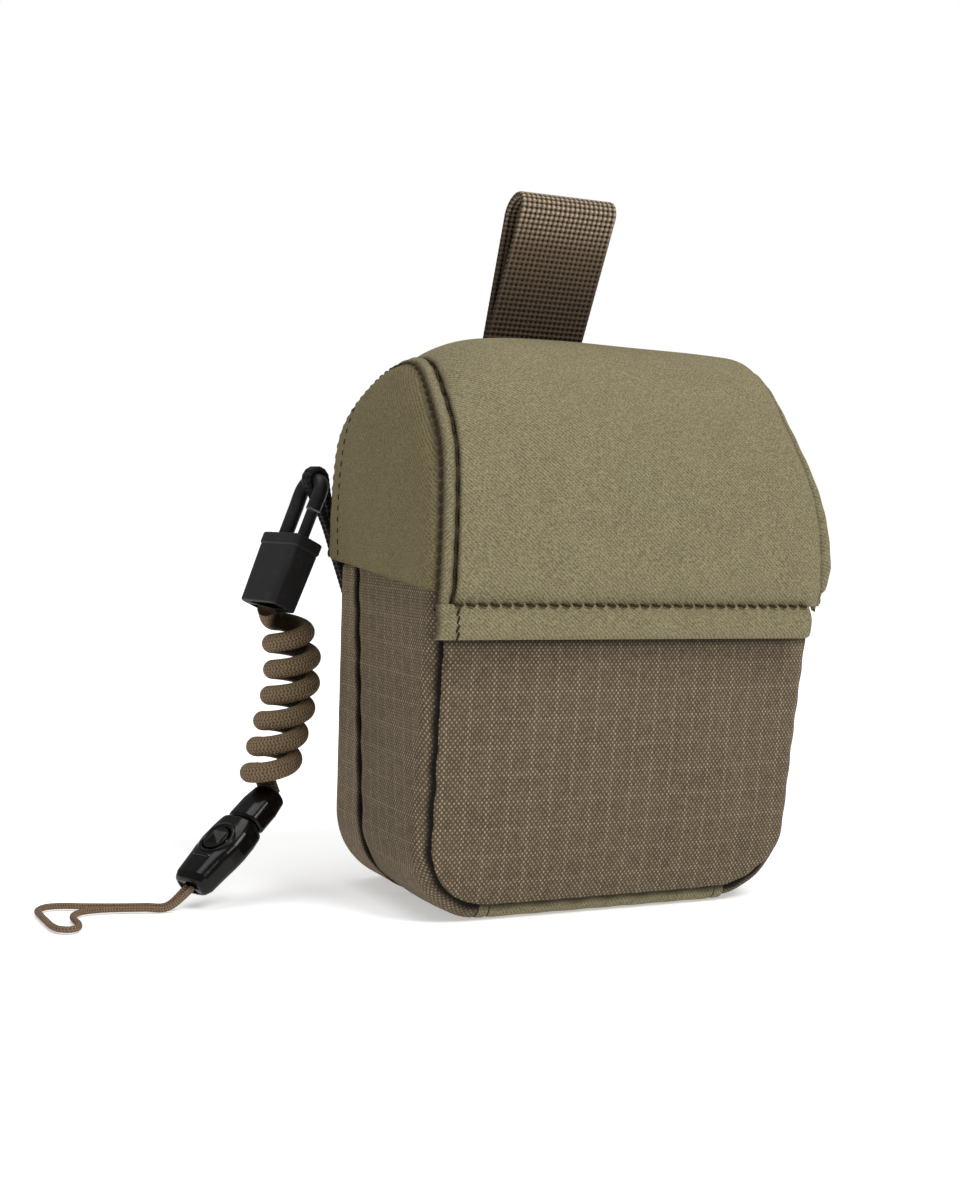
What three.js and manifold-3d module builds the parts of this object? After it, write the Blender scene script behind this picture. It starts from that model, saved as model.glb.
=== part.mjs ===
// Padded belt pouch for a hand-held rangefinder, with a forward-opening lid, a webbing
// pull loop and a coiled lanyard that ends in a quick-release buckle and a thin cord loop.
// Millimetres, +Z up, +Y to the back (the side worn against the body), front at -Y.
import * as THREE from 'three';
import { mergeVertices } from 'three/addons/utils/BufferGeometryUtils.js';
import Module from 'manifold-3d';

// Fits and layers
const SEAM_GAP = 0.3;
const FABRIC = 1.2;
const SOFTSHELL = 1.5;
const LINING = 0.8;

// Pouch body
const BODY_HALF_WIDTH = 48;
const BODY_RIM_Z = 75;
const BODY_BACK_Y = 29;
const CORNER_RADIUS = 18;
const FRONT_SEAM_Y = -27;
const FRONT_LEAN = 0.076;
const FRONT_SEAM_CURL = 3;
const FRONT_BULGE = 2.6;
const BACK_SEAM_TOP_Y = 16;
const BACK_SEAM_LOW_Y = 8;
const BACK_EDGE_CURL = 5;
const BOTTOM_HALF_LENGTH = 29;
const TAPE_WIDTH = 2.6;
const WALL_FOAM = 2.5;
const BACK_FOAM = 6;
const COLLAR_Z = BODY_RIM_Z + 13;

// Lid
const HINGE_Z = 70;
const FOLD_GAP = 0.2;
const HEM_DROP = 7.5;
const LID_FRONT_Y = -33.5;
const LID_BACK_Y = 35;
const LID_TOP_Z = 129;
const LID_CREST_Y = 0;
const LID_FRONT_SPRING_Z = 79;
const LID_BACK_SPRING_Z = 104;
const LID_BACK_EDGE_Z = 78.5;
const LID_FLAT_HALF_WIDTH = BODY_HALF_WIDTH - 3.5;
const LID_EDGE_RADIUS = 6.2;
const LID_TAPER = 5;
const LID_FOAM = 2;
const BINDING_START = 6;
const BINDING_END = 72;
const HEM_EDGE_ANGLE = 36;
const WING_BULGE = 2;
const WING_FRONT_EDGE_Z = 72.6;
const WING_BACK_EDGE_Z = 78;
const MAGNET_RADIUS = 5;
const LID_MAGNET_DEPTH = 1.6;
const BACK_MAGNET_DEPTH = 2;
const MAGNET_Z = 84;

// Webbing pull loop on the lid
const PULL_WIDTH = 25;
const PULL_LENGTH = 33.5;
const PULL_WEBBING = 1.4;
const PULL_EYE_RADIUS = 2.6;
const PULL_X = -10;
const PULL_Y = 5;
const PULL_LEAN = 13;

// Belt loop on the back
const BELT_WIDTH = 38;
const BELT_WEBBING = 1.6;
const BELT_TUNNEL = 6;
const BELT_LOW_Z = 14;
const BELT_HIGH_Z = 70;
const BELT_SEWN = 9;

// Lanyard: hook, coil, buckle and thin cord loop
const HOOK_PIVOT = new THREE.Vector3(-50, 39.5, 96);
const HOOK_YAW = 17;
const HOOK_TILT = 23.6;
const SHACKLE_ROD = 3.2;
const SHACKLE_HALF_SPAN = 3.6;
const SHACKLE_BEND = 2.5;
const SHACKLE_CROWN = 0.7;
const SHACKLE_DROP = 16;
const HOOK_NOSE = 8;
const HOOK_LENGTH = 17.5;
const HOOK_WIDTH = 14;
const HOOK_THICKNESS = 7;
const HOOK_CORNER = 1.2;
const HOOK_SHOULDER = 2.6;
const HOOK_THINNING = 0.6;
const HOOK_NARROWING = 1.8;
const GATE_ROD = 2.6;
const GATE_SWING_ROOM = 1.2;
const ANCHOR_WIDTH = 3;
const ANCHOR_WALL = 1.8;
const ANCHOR_EYE_CLEARANCE = 0.8;
const ANCHOR_FOOT_X = -38;
const ANCHOR_FOOT_Z = 62;
const ANCHOR_FOOT_WIDTH = 10;
const ANCHOR_FOOT_HEIGHT = 20;
const ANCHOR_FOOT_THICKNESS = 1.6;
const COIL_CORD = 4.4;
const COIL_RADIUS = 4.3;
const COIL_TURNS = 6;
const COIL_AXIS_BENDS = [
  [-60.5, 35, 58], [-55.6, 31.5, 52], [-57.2, 29, 44.2], [-59.6, 26.5, 38], [-62.3, 24, 31.9],
];
const COIL_FADE = 0.13;
const COIL_START_ANGLE = -90;
const CURL_STEPS = 8;
const CORD_SIDES = 5;
const BUCKLE_TOP = new THREE.Vector3(-66, 20.5, 22.5);
const BUCKLE_END = new THREE.Vector3(-87.5, 10, 4.8);
const PLUG_LENGTH = 10;
const PLUG_HALF_WIDTH = 5;
const PLUG_HALF_DEPTH = 3.2;
const PLUG_CORNER = 1.4;
const PLUG_SHOULDER = 6;
const PLUG_END_HALF_WIDTH = 3.6;
const PLUG_END_HALF_DEPTH = 2.75;
const TONGUE_LENGTH = 8;
const TONGUE_ROOT = 1;
const TONGUE_HALF_WIDTH = 3;
const TONGUE_HALF_DEPTH = 1;
const SOCKET_HALF_WIDTH = 5.4;
const SOCKET_HALF_DEPTH = 3.5;
const SOCKET_CORNER = 2;
const SOCKET_COLLAR = 4;
const SOCKET_STEP = 1;
const SOCKET_WAIST_HALF_WIDTH = 4.86;
const SOCKET_NOSE = 2;
const SOCKET_NOSE_HALF_WIDTH = 4.54;
const SOCKET_NOSE_HALF_DEPTH = 3.3;
const SOCKET_END_HALF_WIDTH = 3.56;
const SOCKET_END_HALF_DEPTH = 2.66;
const BUTTON_RADIUS = 3.1;
const BUTTON_FACE_RADIUS = 2.2;
const BUTTON_TRAVEL = 0.8;
const BUTTON_RIM = 0.8;
const BUTTON_PEAK = 1.3;
const BUTTON_WELL_DEPTH = 1.6;
const TETHER_CORD = 1.5;
const TETHER_BORE_RADIUS = 1.9;
const TETHER_BORE_DEPTH = 3;
const TETHER_LEAD = 4;

const rad = THREE.MathUtils.degToRad;
const lerp = THREE.MathUtils.lerp;
const range = (n) => Array.from({ length: n + 1 }, (_, i) => i / n);

// Solids from closed surfaces

function solid(points, faces) {
  const geometry = new THREE.BufferGeometry();
  let volume = 0;
  for (const [a, b, c] of faces) {
    volume += points[a].dot(points[b].clone().cross(points[c]));
  }
  const index = faces.flatMap(([a, b, c]) => (volume > 0 ? [a, b, c] : [a, c, b]));
  geometry.setAttribute(
    'position', new THREE.Float32BufferAttribute(points.flatMap((p) => p.toArray()), 3));
  geometry.setIndex(index);
  return geometry;
}

// A wall between two surfaces given as equal grids of points.
function wall(outer, inner) {
  const rows = outer.length;
  const cols = outer[0].length;
  const points = [...outer.flat(), ...inner.flat()];
  const at = (layer, i, j) => layer * rows * cols + i * cols + j;
  const faces = [];
  const quad = (a, b, c, d) => faces.push([a, b, c], [a, c, d]);
  for (let i = 0; i < rows - 1; i += 1) {
    for (let j = 0; j < cols - 1; j += 1) {
      quad(at(0, i, j), at(0, i + 1, j), at(0, i + 1, j + 1), at(0, i, j + 1));
      quad(at(1, i, j), at(1, i, j + 1), at(1, i + 1, j + 1), at(1, i + 1, j));
    }
  }
  for (let i = 0; i < rows - 1; i += 1) {
    quad(at(0, i, 0), at(1, i, 0), at(1, i + 1, 0), at(0, i + 1, 0));
    quad(at(0, i, cols - 1), at(0, i + 1, cols - 1), at(1, i + 1, cols - 1), at(1, i, cols - 1));
  }
  for (let j = 0; j < cols - 1; j += 1) {
    quad(at(0, 0, j), at(0, 0, j + 1), at(1, 0, j + 1), at(1, 0, j));
    quad(at(0, rows - 1, j), at(1, rows - 1, j), at(1, rows - 1, j + 1), at(0, rows - 1, j + 1));
  }
  return solid(points, faces);
}

// A closed body through rings of equal point counts, capped at both ends.
function loft(rings) {
  const n = rings[0].length;
  const points = rings.flat();
  const faces = [];
  for (let k = 0; k < rings.length - 1; k += 1) {
    for (let i = 0; i < n; i += 1) {
      const a = k * n + i;
      const b = k * n + ((i + 1) % n);
      faces.push([a, b, b + n], [a, b + n, a + n]);
    }
  }
  const last = (rings.length - 1) * n;
  for (let i = 1; i < n - 1; i += 1) {
    faces.push([0, i + 1, i], [last, last + i, last + i + 1]);
  }
  return solid(points, faces);
}

// A rounded rectangle in the XY plane at a height, with an elliptic corner.
function roundedRing(z, halfX, halfY, corner) {
  const ring = [];
  for (const [sx, sy, from] of [[1, 1, 0], [-1, 1, 90], [-1, -1, 180], [1, -1, 270]]) {
    for (const t of range(3)) {
      const angle = rad(from + 90 * t);
      ring.push(new THREE.Vector3(
        sx * (halfX - corner) + corner * Math.cos(angle),
        sy * (halfY - corner) + corner * Math.sin(angle),
        z));
    }
  }
  return ring;
}

// Boolean cuts and joins
const wasm = await Module();
wasm.setup();

function toManifold(geometry) {
  const bare = geometry.clone();
  bare.deleteAttribute('normal');
  bare.deleteAttribute('uv');
  const merged = mergeVertices(bare, 1e-4);
  return new wasm.Manifold(new wasm.Mesh({
    numProp: 3,
    vertProperties: new Float32Array(merged.attributes.position.array),
    triVerts: new Uint32Array(merged.index.array),
  }));
}

function fromManifold(body) {
  const mesh = body.getMesh();
  const geometry = new THREE.BufferGeometry();
  geometry.setAttribute('position', new THREE.BufferAttribute(mesh.vertProperties, 3));
  geometry.setIndex(new THREE.BufferAttribute(mesh.triVerts, 1));
  return geometry;
}

function cut(geometry, ...tools) {
  return fromManifold(tools.reduce(
    (body, tool) => body.subtract(toManifold(tool)), toManifold(geometry)));
}

function join(geometry, ...others) {
  return fromManifold(others.reduce(
    (body, other) => body.add(toManifold(other)), toManifold(geometry)));
}

function box(sizeX, sizeY, sizeZ, x, y, z) {
  return new THREE.BoxGeometry(sizeX, sizeY, sizeZ).translate(x, y, z);
}

function discAlongY(radius, depth, x, y, z) {
  return new THREE.CylinderGeometry(radius, radius, depth, 20).translate(x, y, z);
}

// Body outline seen from the front: straight sides, round lower corners, flat bottom.
// A station names a place on the left half of that outline.
const side = (z) => ({ z, at: (inset) => [-(BODY_HALF_WIDTH - inset), z] });
const corner = (angle) => ({
  z: CORNER_RADIUS * (1 - Math.sin(angle)),
  at: (inset) => [
    -(BODY_HALF_WIDTH - CORNER_RADIUS) - (CORNER_RADIUS - inset) * Math.cos(angle),
    CORNER_RADIUS - (CORNER_RADIUS - inset) * Math.sin(angle),
  ],
});
const floor = (x) => ({ z: 0, at: (inset) => [x, inset] });
const mirrored = (station) => ({
  z: station.z,
  at: (inset) => [-station.at(inset)[0], station.at(inset)[1]],
});

const frontSeamY = (z) => FRONT_SEAM_Y + FRONT_LEAN * (HINGE_Z - z);
const backSeamY = (z) => lerp(BACK_SEAM_LOW_Y, BACK_SEAM_TOP_Y, z / BODY_RIM_Z);
const outlineHalfWidth = (z, inset) => (z >= CORNER_RADIUS
  ? BODY_HALF_WIDTH - inset
  : BODY_HALF_WIDTH - CORNER_RADIUS
    + Math.sqrt(Math.max(0, (CORNER_RADIUS - inset) ** 2 - (CORNER_RADIUS - z) ** 2)));

// Cross-section of the side strip at a depth below its outer face: flat from the back seam,
// then rolled inwards to meet the front panel.
function stripSection(z, depth) {
  const roll = FRONT_SEAM_CURL - depth;
  const front = frontSeamY(z) + FRONT_SEAM_CURL;
  const section = [[depth, backSeamY(z)], [depth, lerp(backSeamY(z), front, 0.5)], [depth, front]];
  for (const t of range(3).slice(1)) {
    const angle = rad(90 * t);
    section.push([depth + roll * (1 - Math.cos(angle)), front - roll * Math.sin(angle)]);
  }
  return section;
}

// Cross-section of the band round the back: flat, then rolled inwards to the back panel.
function bandSection(z, depth) {
  const roll = BACK_EDGE_CURL - depth;
  const back = BODY_BACK_Y - BACK_EDGE_CURL;
  const section = [[depth, backSeamY(z) + SEAM_GAP], [depth, back]];
  for (const t of range(4).slice(1)) {
    const angle = rad(90 * t);
    section.push([depth + roll * (1 - Math.cos(angle)), back + roll * Math.sin(angle)]);
  }
  return section;
}

function strip(stations, section, depth, thickness) {
  const layer = (level) => stations.map((station) => section(station.z, level).map(([inset, y]) => {
    const [x, z] = station.at(inset);
    return new THREE.Vector3(x, y, z);
  }));
  return wall(layer(depth), layer(depth + thickness));
}

// A plate with the body's outline inset by some amount, between two surfaces y(x share, z).
function plate(inset, topZ, outerY, innerY) {
  const heights = [
    ...range(5).map((t) => CORNER_RADIUS - (CORNER_RADIUS - inset) * Math.cos(rad(90 * t))),
    ...range(4).slice(1).map((t) => lerp(CORNER_RADIUS, topZ, t)),
  ];
  const layer = (surface) => heights.map((z) => range(8).map((t) => {
    const share = 2 * t - 1;
    return new THREE.Vector3(share * outlineHalfWidth(z, inset), surface(share, z), z);
  }));
  return wall(layer(outerY), layer(innerY));
}

// Front panel surface: bulged between its side seams, fading out at the bottom seam.
const FRONT_PANEL_INSET = FRONT_SEAM_CURL + SEAM_GAP;
function frontPanelY(share, z) {
  const rise = Math.min(1, (z - FRONT_PANEL_INSET) / CORNER_RADIUS);
  return frontSeamY(z) - FRONT_BULGE * (1 - share ** 4) * Math.sqrt(rise);
}

const gap = SEAM_GAP;
const gussetEndX = -(BOTTOM_HALF_LENGTH + gap + TAPE_WIDTH + gap);
const cornerStations = range(6).map((t) => corner(rad(90 * t)));
const gussetStations = [
  side(BODY_RIM_Z), side(lerp(CORNER_RADIUS, BODY_RIM_Z, 0.5)),
  ...cornerStations.filter((station) => station.at(0)[0] < gussetEndX - 1),
  floor(gussetEndX),
];
const bottomStations = range(4).map((t) => floor(lerp(-BOTTOM_HALF_LENGTH, BOTTOM_HALF_LENGTH, t)));
const tapeStations = [floor(-(BOTTOM_HALF_LENGTH + gap + TAPE_WIDTH)), floor(-(BOTTOM_HALF_LENGTH + gap))];
const halfBand = [side(BODY_RIM_Z), side(lerp(CORNER_RADIUS, BODY_RIM_Z, 0.5)), ...cornerStations];
const bandStations = [...halfBand, ...halfBand.map(mirrored).reverse()];

// Finishes
const finish = (color, roughness, metalness = 0) =>
  new THREE.MeshStandardMaterial({ color, roughness, metalness });
const brownRipstop = finish(0x655844, 0.9);
const oliveSoftshell = finish(0x7f7858, 0.85);
const greyFoam = finish(0x8a8a86, 1);
const brownLining = finish(0x4b4334, 0.95);
const brownWebbing = finish(0x4a3f30, 0.8);
const blackPlastic = finish(0x17191b, 0.4);
const blackWebbing = finish(0x1c1d1f, 0.8);
const brownCord = finish(0x6b5a45, 0.85);
const magnetNickel = finish(0x9a9c9e, 0.35, 1);

const model = new THREE.Group();
function piece(name, geometry, material, parent = model) {
  const mesh = new THREE.Mesh(geometry, material);
  mesh.name = name;
  parent.add(mesh);
  return mesh;
}

// Outer fabric of the pouch
piece('front_panel', plate(FRONT_PANEL_INSET, HINGE_Z - gap,
  frontPanelY, (share, z) => frontPanelY(share, z) + FABRIC), brownRipstop);
piece('left_gusset', strip(gussetStations, stripSection, 0, FABRIC), brownRipstop);
piece('right_gusset', strip(gussetStations.map(mirrored), stripSection, 0, FABRIC), brownRipstop);
piece('bottom_panel', strip(bottomStations, stripSection, 0, FABRIC), oliveSoftshell);
piece('bottom_left_tape', strip(tapeStations, stripSection, 0, FABRIC), oliveSoftshell);
piece('bottom_right_tape', strip(tapeStations.map(mirrored), stripSection, 0, FABRIC), oliveSoftshell);
piece('back_band', strip(bandStations, bandSection, 0, FABRIC), brownRipstop);
piece('back_panel', plate(BACK_EDGE_CURL + gap, BODY_RIM_Z,
  () => BODY_BACK_Y, () => BODY_BACK_Y - FABRIC), brownRipstop);

// Padding behind each wall
const foamDepth = FABRIC + gap;
const foamFrontY = (z) => frontSeamY(z) + FRONT_SEAM_CURL + gap;
function foamSection(z, depth) {
  return [[depth, backSeamY(z)], [depth, foamFrontY(z)]];
}
const sideFoamStations = [
  side(BODY_RIM_Z - gap), ...cornerStations.filter((station) => station.at(0)[0] < gussetEndX),
];
piece('front_foam', plate(foamDepth + WALL_FOAM + gap, HINGE_Z - gap,
  (share, z) => frontPanelY(share, z) + FABRIC + gap,
  (share, z) => frontPanelY(share, z) + FABRIC + gap + WALL_FOAM), greyFoam);
piece('left_foam', strip(sideFoamStations, foamSection, foamDepth, WALL_FOAM), greyFoam);
piece('right_foam', strip(sideFoamStations.map(mirrored), foamSection, foamDepth, WALL_FOAM), greyFoam);
piece('bottom_foam', strip(bottomStations, foamSection, foamDepth, WALL_FOAM), greyFoam);
const backFoamY = BODY_BACK_Y - FABRIC - gap;
piece('back_foam', plate(BACK_EDGE_CURL + gap, BODY_RIM_Z - gap,
  () => backFoamY, () => backFoamY - BACK_FOAM), greyFoam);

// Inner bag, open at the top, leaning with the front wall; its upper edge is the collar
const linerInset = foamDepth + WALL_FOAM + gap;
const linerBackY = backFoamY - BACK_FOAM - gap;
const linerFrontY = FRONT_SEAM_Y + FABRIC + gap + WALL_FOAM + gap;
function bagBlank(inset, frontY, backY, topZ) {
  const halfWidth = BODY_HALF_WIDTH - inset;
  const radius = CORNER_RADIUS - inset;
  const outline = new THREE.Shape();
  outline.moveTo(-halfWidth, topZ);
  outline.lineTo(-halfWidth, CORNER_RADIUS);
  outline.absarc(-halfWidth + radius, CORNER_RADIUS, radius, Math.PI, 1.5 * Math.PI);
  outline.lineTo(halfWidth - radius, inset);
  outline.absarc(halfWidth - radius, CORNER_RADIUS, radius, 1.5 * Math.PI, 2 * Math.PI);
  outline.lineTo(halfWidth, topZ);
  const blank = new THREE.ExtrudeGeometry(
    outline, { depth: backY - frontY, bevelEnabled: false, curveSegments: 6 });
  blank.rotateX(Math.PI / 2).translate(0, backY, 0);
  const place = blank.attributes.position;
  for (let i = 0; i < place.count; i += 1) {
    const share = (backY - place.getY(i)) / (backY - frontY);
    place.setY(i, place.getY(i) + share * Math.max(0, FRONT_LEAN * (HINGE_Z - place.getZ(i))));
  }
  return blank;
}
piece('liner', cut(
  bagBlank(linerInset, linerFrontY, linerBackY, COLLAR_Z),
  bagBlank(linerInset + LINING, linerFrontY + LINING, linerBackY - LINING, COLLAR_Z + 1)),
brownLining);
piece('back_magnet', discAlongY(MAGNET_RADIUS, BACK_MAGNET_DEPTH, 0,
  linerBackY + gap + BACK_MAGNET_DEPTH / 2, COLLAR_Z - gap - MAGNET_RADIUS), magnetNickel);

// Lid profile seen from the side: a front wall, a front and a back quarter ellipse that meet
// at the crest, and a back wall. Every layer keeps the same centres and loses its depth.
const frontWall = (z) => (depth) => [LID_FRONT_Y + depth, z];
const backWall = (z) => (depth) => [LID_BACK_Y - depth, z];
const arch = (reach, springZ, turn) => (depth) => [
  LID_CREST_Y + Math.sign(reach) * (Math.abs(reach) - depth) * Math.sin(turn),
  springZ + (LID_TOP_Z - springZ - depth) * Math.cos(turn),
];
const frontArch = (t) => arch(LID_FRONT_Y - LID_CREST_Y, LID_FRONT_SPRING_Z, rad(90 * (1 - t)));
const backArch = (t) => arch(LID_BACK_Y - LID_CREST_Y, LID_BACK_SPRING_Z, rad(90 * t));
function lidStations(frontZ, backZ) {
  return [
    frontWall(frontZ), frontWall(lerp(frontZ, LID_FRONT_SPRING_Z, 0.5)),
    ...range(8).map(frontArch), ...range(8).slice(1).map(backArch),
    backWall(lerp(backZ, LID_BACK_SPRING_Z, 0.5)), backWall(backZ),
  ];
}
const lidFlatHalf = (z) => LID_FLAT_HALF_WIDTH
  - LID_TAPER * Math.max(0, (z - HINGE_Z) / (LID_TOP_Z - HINGE_Z)) ** 2;

// A strip of the lid between two places across it. A place is a share of the flat half width
// or an angle round the soft edge.
const flat = (share) => ({ share, angle: 0 });
const edge = (sign, degrees) => ({ share: sign, angle: rad(degrees) });
function lidStrip(stations, places, depth, thickness) {
  const layer = (level) => stations.map((station) => places.map(({ share, angle }) => {
    const radius = LID_EDGE_RADIUS - level;
    const [y, z] = station(level + radius * (1 - Math.cos(angle)));
    const x = share * lidFlatHalf(station(0)[1]) + Math.sign(share) * radius * Math.sin(angle);
    return new THREE.Vector3(x, y, z);
  }));
  return wall(layer(depth), layer(depth + thickness));
}
const acrossFlat = range(6).map((t) => flat(2 * t - 1));
const acrossEdge = (sign, from, to) => range(4).map((t) => edge(sign, lerp(from, to, t)));
const seamAngle = THREE.MathUtils.radToDeg(gap / (LID_EDGE_RADIUS - SOFTSHELL));

const lid = new THREE.Group();
model.add(lid);
const lidLowZ = HINGE_Z + FOLD_GAP;
const shellStations = lidStations(lidLowZ, LID_BACK_EDGE_Z);
const panelEdge = BINDING_START - seamAngle;
piece('lid_panel', lidStrip(shellStations,
  [edge(-1, panelEdge), ...acrossFlat, edge(1, panelEdge)], 0, SOFTSHELL), oliveSoftshell, lid);
for (const [sign, name] of [[-1, 'lid_left_binding'], [1, 'lid_right_binding']]) {
  piece(name, lidStrip(shellStations, acrossEdge(sign, BINDING_START, BINDING_END), 0, SOFTSHELL),
    oliveSoftshell, lid);
}

// Side walls of the lid: columns run up from a lower edge that rises to the back
const wingEdge = rad(BINDING_END + seamAngle);
const wingDrop = LID_EDGE_RADIUS * (1 - Math.cos(wingEdge));
const wingColumns = shellStations.slice(2, -2).map((station) => station(wingDrop + gap));
const wingLowZ = (y) => lerp(WING_FRONT_EDGE_Z, WING_BACK_EDGE_Z,
  (y - LID_FRONT_Y) / (LID_BACK_Y - LID_FRONT_Y));
function wing(sign) {
  const layer = (level) => wingColumns.map(([y, topZ]) => range(6).map((t) => {
    const z = lerp(wingLowZ(y), topZ, t);
    const across = (y - wingColumns[0][0]) / (wingColumns.at(-1)[0] - wingColumns[0][0]);
    const swell = WING_BULGE * Math.sin(Math.PI * across) * Math.sin(Math.PI * t);
    const outer = lidFlatHalf(z) + LID_EDGE_RADIUS * Math.sin(wingEdge) + swell;
    return new THREE.Vector3(sign * (outer - level), y, z);
  }));
  return wall(layer(0), layer(SOFTSHELL));
}
piece('lid_left_wing', wing(-1), oliveSoftshell, lid);
piece('lid_right_wing', wing(1), oliveSoftshell, lid);

// Padding and lining under the lid panel; the magnet sits in a pocket of the padding
const lidFoamDepth = SOFTSHELL + gap;
const lidLiningDepth = lidFoamDepth + LID_FOAM + gap;
const padStations = lidStations(lidLowZ + lidFoamDepth, LID_BACK_EDGE_Z + gap);
const magnetY = LID_BACK_Y - lidFoamDepth - LID_FOAM / 2;
const magnetPocket = discAlongY(MAGNET_RADIUS + gap, 2 * LID_FOAM, 0, magnetY, MAGNET_Z);
piece('lid_foam', cut(lidStrip(padStations, acrossFlat, lidFoamDepth, LID_FOAM), magnetPocket),
  greyFoam, lid);
piece('lid_lining', lidStrip(padStations, acrossFlat, lidLiningDepth, LINING), brownLining, lid);
piece('lid_magnet', discAlongY(MAGNET_RADIUS, LID_MAGNET_DEPTH, 0, magnetY, MAGNET_Z), magnetNickel, lid);

// Band below the fold line, sewn to the front panel
function hemBand() {
  const places = [
    ...acrossEdge(-1, HEM_EDGE_ANGLE, 0), ...acrossFlat.slice(1, -1), ...acrossEdge(1, 0, HEM_EDGE_ANGLE),
  ];
  const heights = range(3).map((t) => lerp(HINGE_Z - HEM_DROP, HINGE_Z - FOLD_GAP, t));
  const panelHalf = BODY_HALF_WIDTH - FRONT_PANEL_INSET;
  const outer = heights.map((z) => places.map(({ share, angle }) => new THREE.Vector3(
    share * LID_FLAT_HALF_WIDTH + Math.sign(share) * LID_EDGE_RADIUS * Math.sin(angle),
    LID_FRONT_Y + LID_EDGE_RADIUS * (1 - Math.cos(angle)), z)));
  const inner = outer.map((row) => row.map((p) => new THREE.Vector3(
    p.x, frontPanelY(THREE.MathUtils.clamp(p.x / panelHalf, -1, 1), p.z) - gap, p.z)));
  return wall(outer, inner);
}
piece('hem_band', hemBand(), oliveSoftshell);

// Webbing loop sewn to the lid behind the crest: two leaves that part towards the fold.
// It bends about its round foot.
function webbingLoop() {
  const outerRadius = PULL_EYE_RADIUS + PULL_WEBBING;
  const centre = PULL_LENGTH - outerRadius;
  const band = new THREE.Shape();
  band.absarc(0, 0, PULL_WEBBING, Math.PI, 2 * Math.PI);
  band.lineTo(outerRadius, centre);
  band.absarc(0, centre, outerRadius, 0, Math.PI);
  band.lineTo(-PULL_WEBBING, 0);
  const eye = new THREE.Path();
  eye.moveTo(0, PULL_WEBBING);
  eye.lineTo(-PULL_EYE_RADIUS, centre);
  eye.absarc(0, centre, PULL_EYE_RADIUS, Math.PI, 0, true);
  eye.lineTo(0, PULL_WEBBING);
  band.holes.push(eye);
  const loop = new THREE.ExtrudeGeometry(band, { depth: PULL_WIDTH, bevelEnabled: false, curveSegments: 8 });
  return loop.rotateX(Math.PI / 2).rotateZ(Math.PI / 2).translate(-PULL_WIDTH / 2, 0, 0);
}
const pullFootZ = backArch(Math.asin((PULL_Y - LID_CREST_Y) / (LID_BACK_Y - LID_CREST_Y)) / rad(90))(0)[1];
const pull = piece('pull_loop', webbingLoop(), brownWebbing, lid);
const pullShear = new THREE.Matrix4().makeShear(0, 0, 0, 0, Math.tan(rad(PULL_LEAN)), 0);
pull.geometry.applyMatrix4(pullShear);
pull.position.set(PULL_X, PULL_Y, pullFootZ + gap + PULL_WEBBING);

// Belt loop: one strap sewn to the back at its ends, standing off between them
function beltLoop() {
  const foot = BODY_BACK_Y + gap;
  const crown = foot + BELT_TUNNEL + BELT_WEBBING;
  const profile = new THREE.Shape();
  profile.moveTo(foot, BELT_LOW_Z);
  profile.lineTo(foot + BELT_WEBBING, BELT_LOW_Z);
  profile.lineTo(crown, BELT_LOW_Z + BELT_SEWN);
  profile.lineTo(crown, BELT_HIGH_Z - BELT_SEWN);
  profile.lineTo(foot + BELT_WEBBING, BELT_HIGH_Z);
  profile.lineTo(foot, BELT_HIGH_Z);
  profile.lineTo(foot, BELT_HIGH_Z - BELT_SEWN / 2);
  profile.lineTo(crown - BELT_WEBBING, BELT_HIGH_Z - BELT_SEWN - BELT_WEBBING);
  profile.lineTo(crown - BELT_WEBBING, BELT_LOW_Z + BELT_SEWN + BELT_WEBBING);
  profile.lineTo(foot, BELT_LOW_Z + BELT_SEWN / 2);
  const strap = new THREE.ExtrudeGeometry(profile, { depth: BELT_WIDTH, bevelEnabled: false });
  return strap.rotateX(Math.PI / 2).rotateZ(Math.PI / 2).translate(-BELT_WIDTH / 2, 0, 0);
}
piece('belt_loop', beltLoop(), brownWebbing);

// Hook: a moulded block with a shackle whose bar turns in the anchor loop's eye.
// Its own frame has the bar along Y and the block below.
const hook = new THREE.Group();
hook.position.copy(HOOK_PIVOT);
hook.rotation.set(0, rad(HOOK_TILT), rad(HOOK_YAW), 'ZYX');
model.add(hook);
hook.updateMatrixWorld(true);

function rod(points, diameter, sides, steps) {
  const section = new THREE.Shape(range(sides).slice(1).map((t) => new THREE.Vector2(
    diameter / 2 * Math.cos(2 * Math.PI * t), diameter / 2 * Math.sin(2 * Math.PI * t))));
  return new THREE.ExtrudeGeometry(section, {
    steps, bevelEnabled: false, extrudePath: new THREE.CatmullRomCurve3(points, false, 'centripetal'),
  });
}

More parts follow.
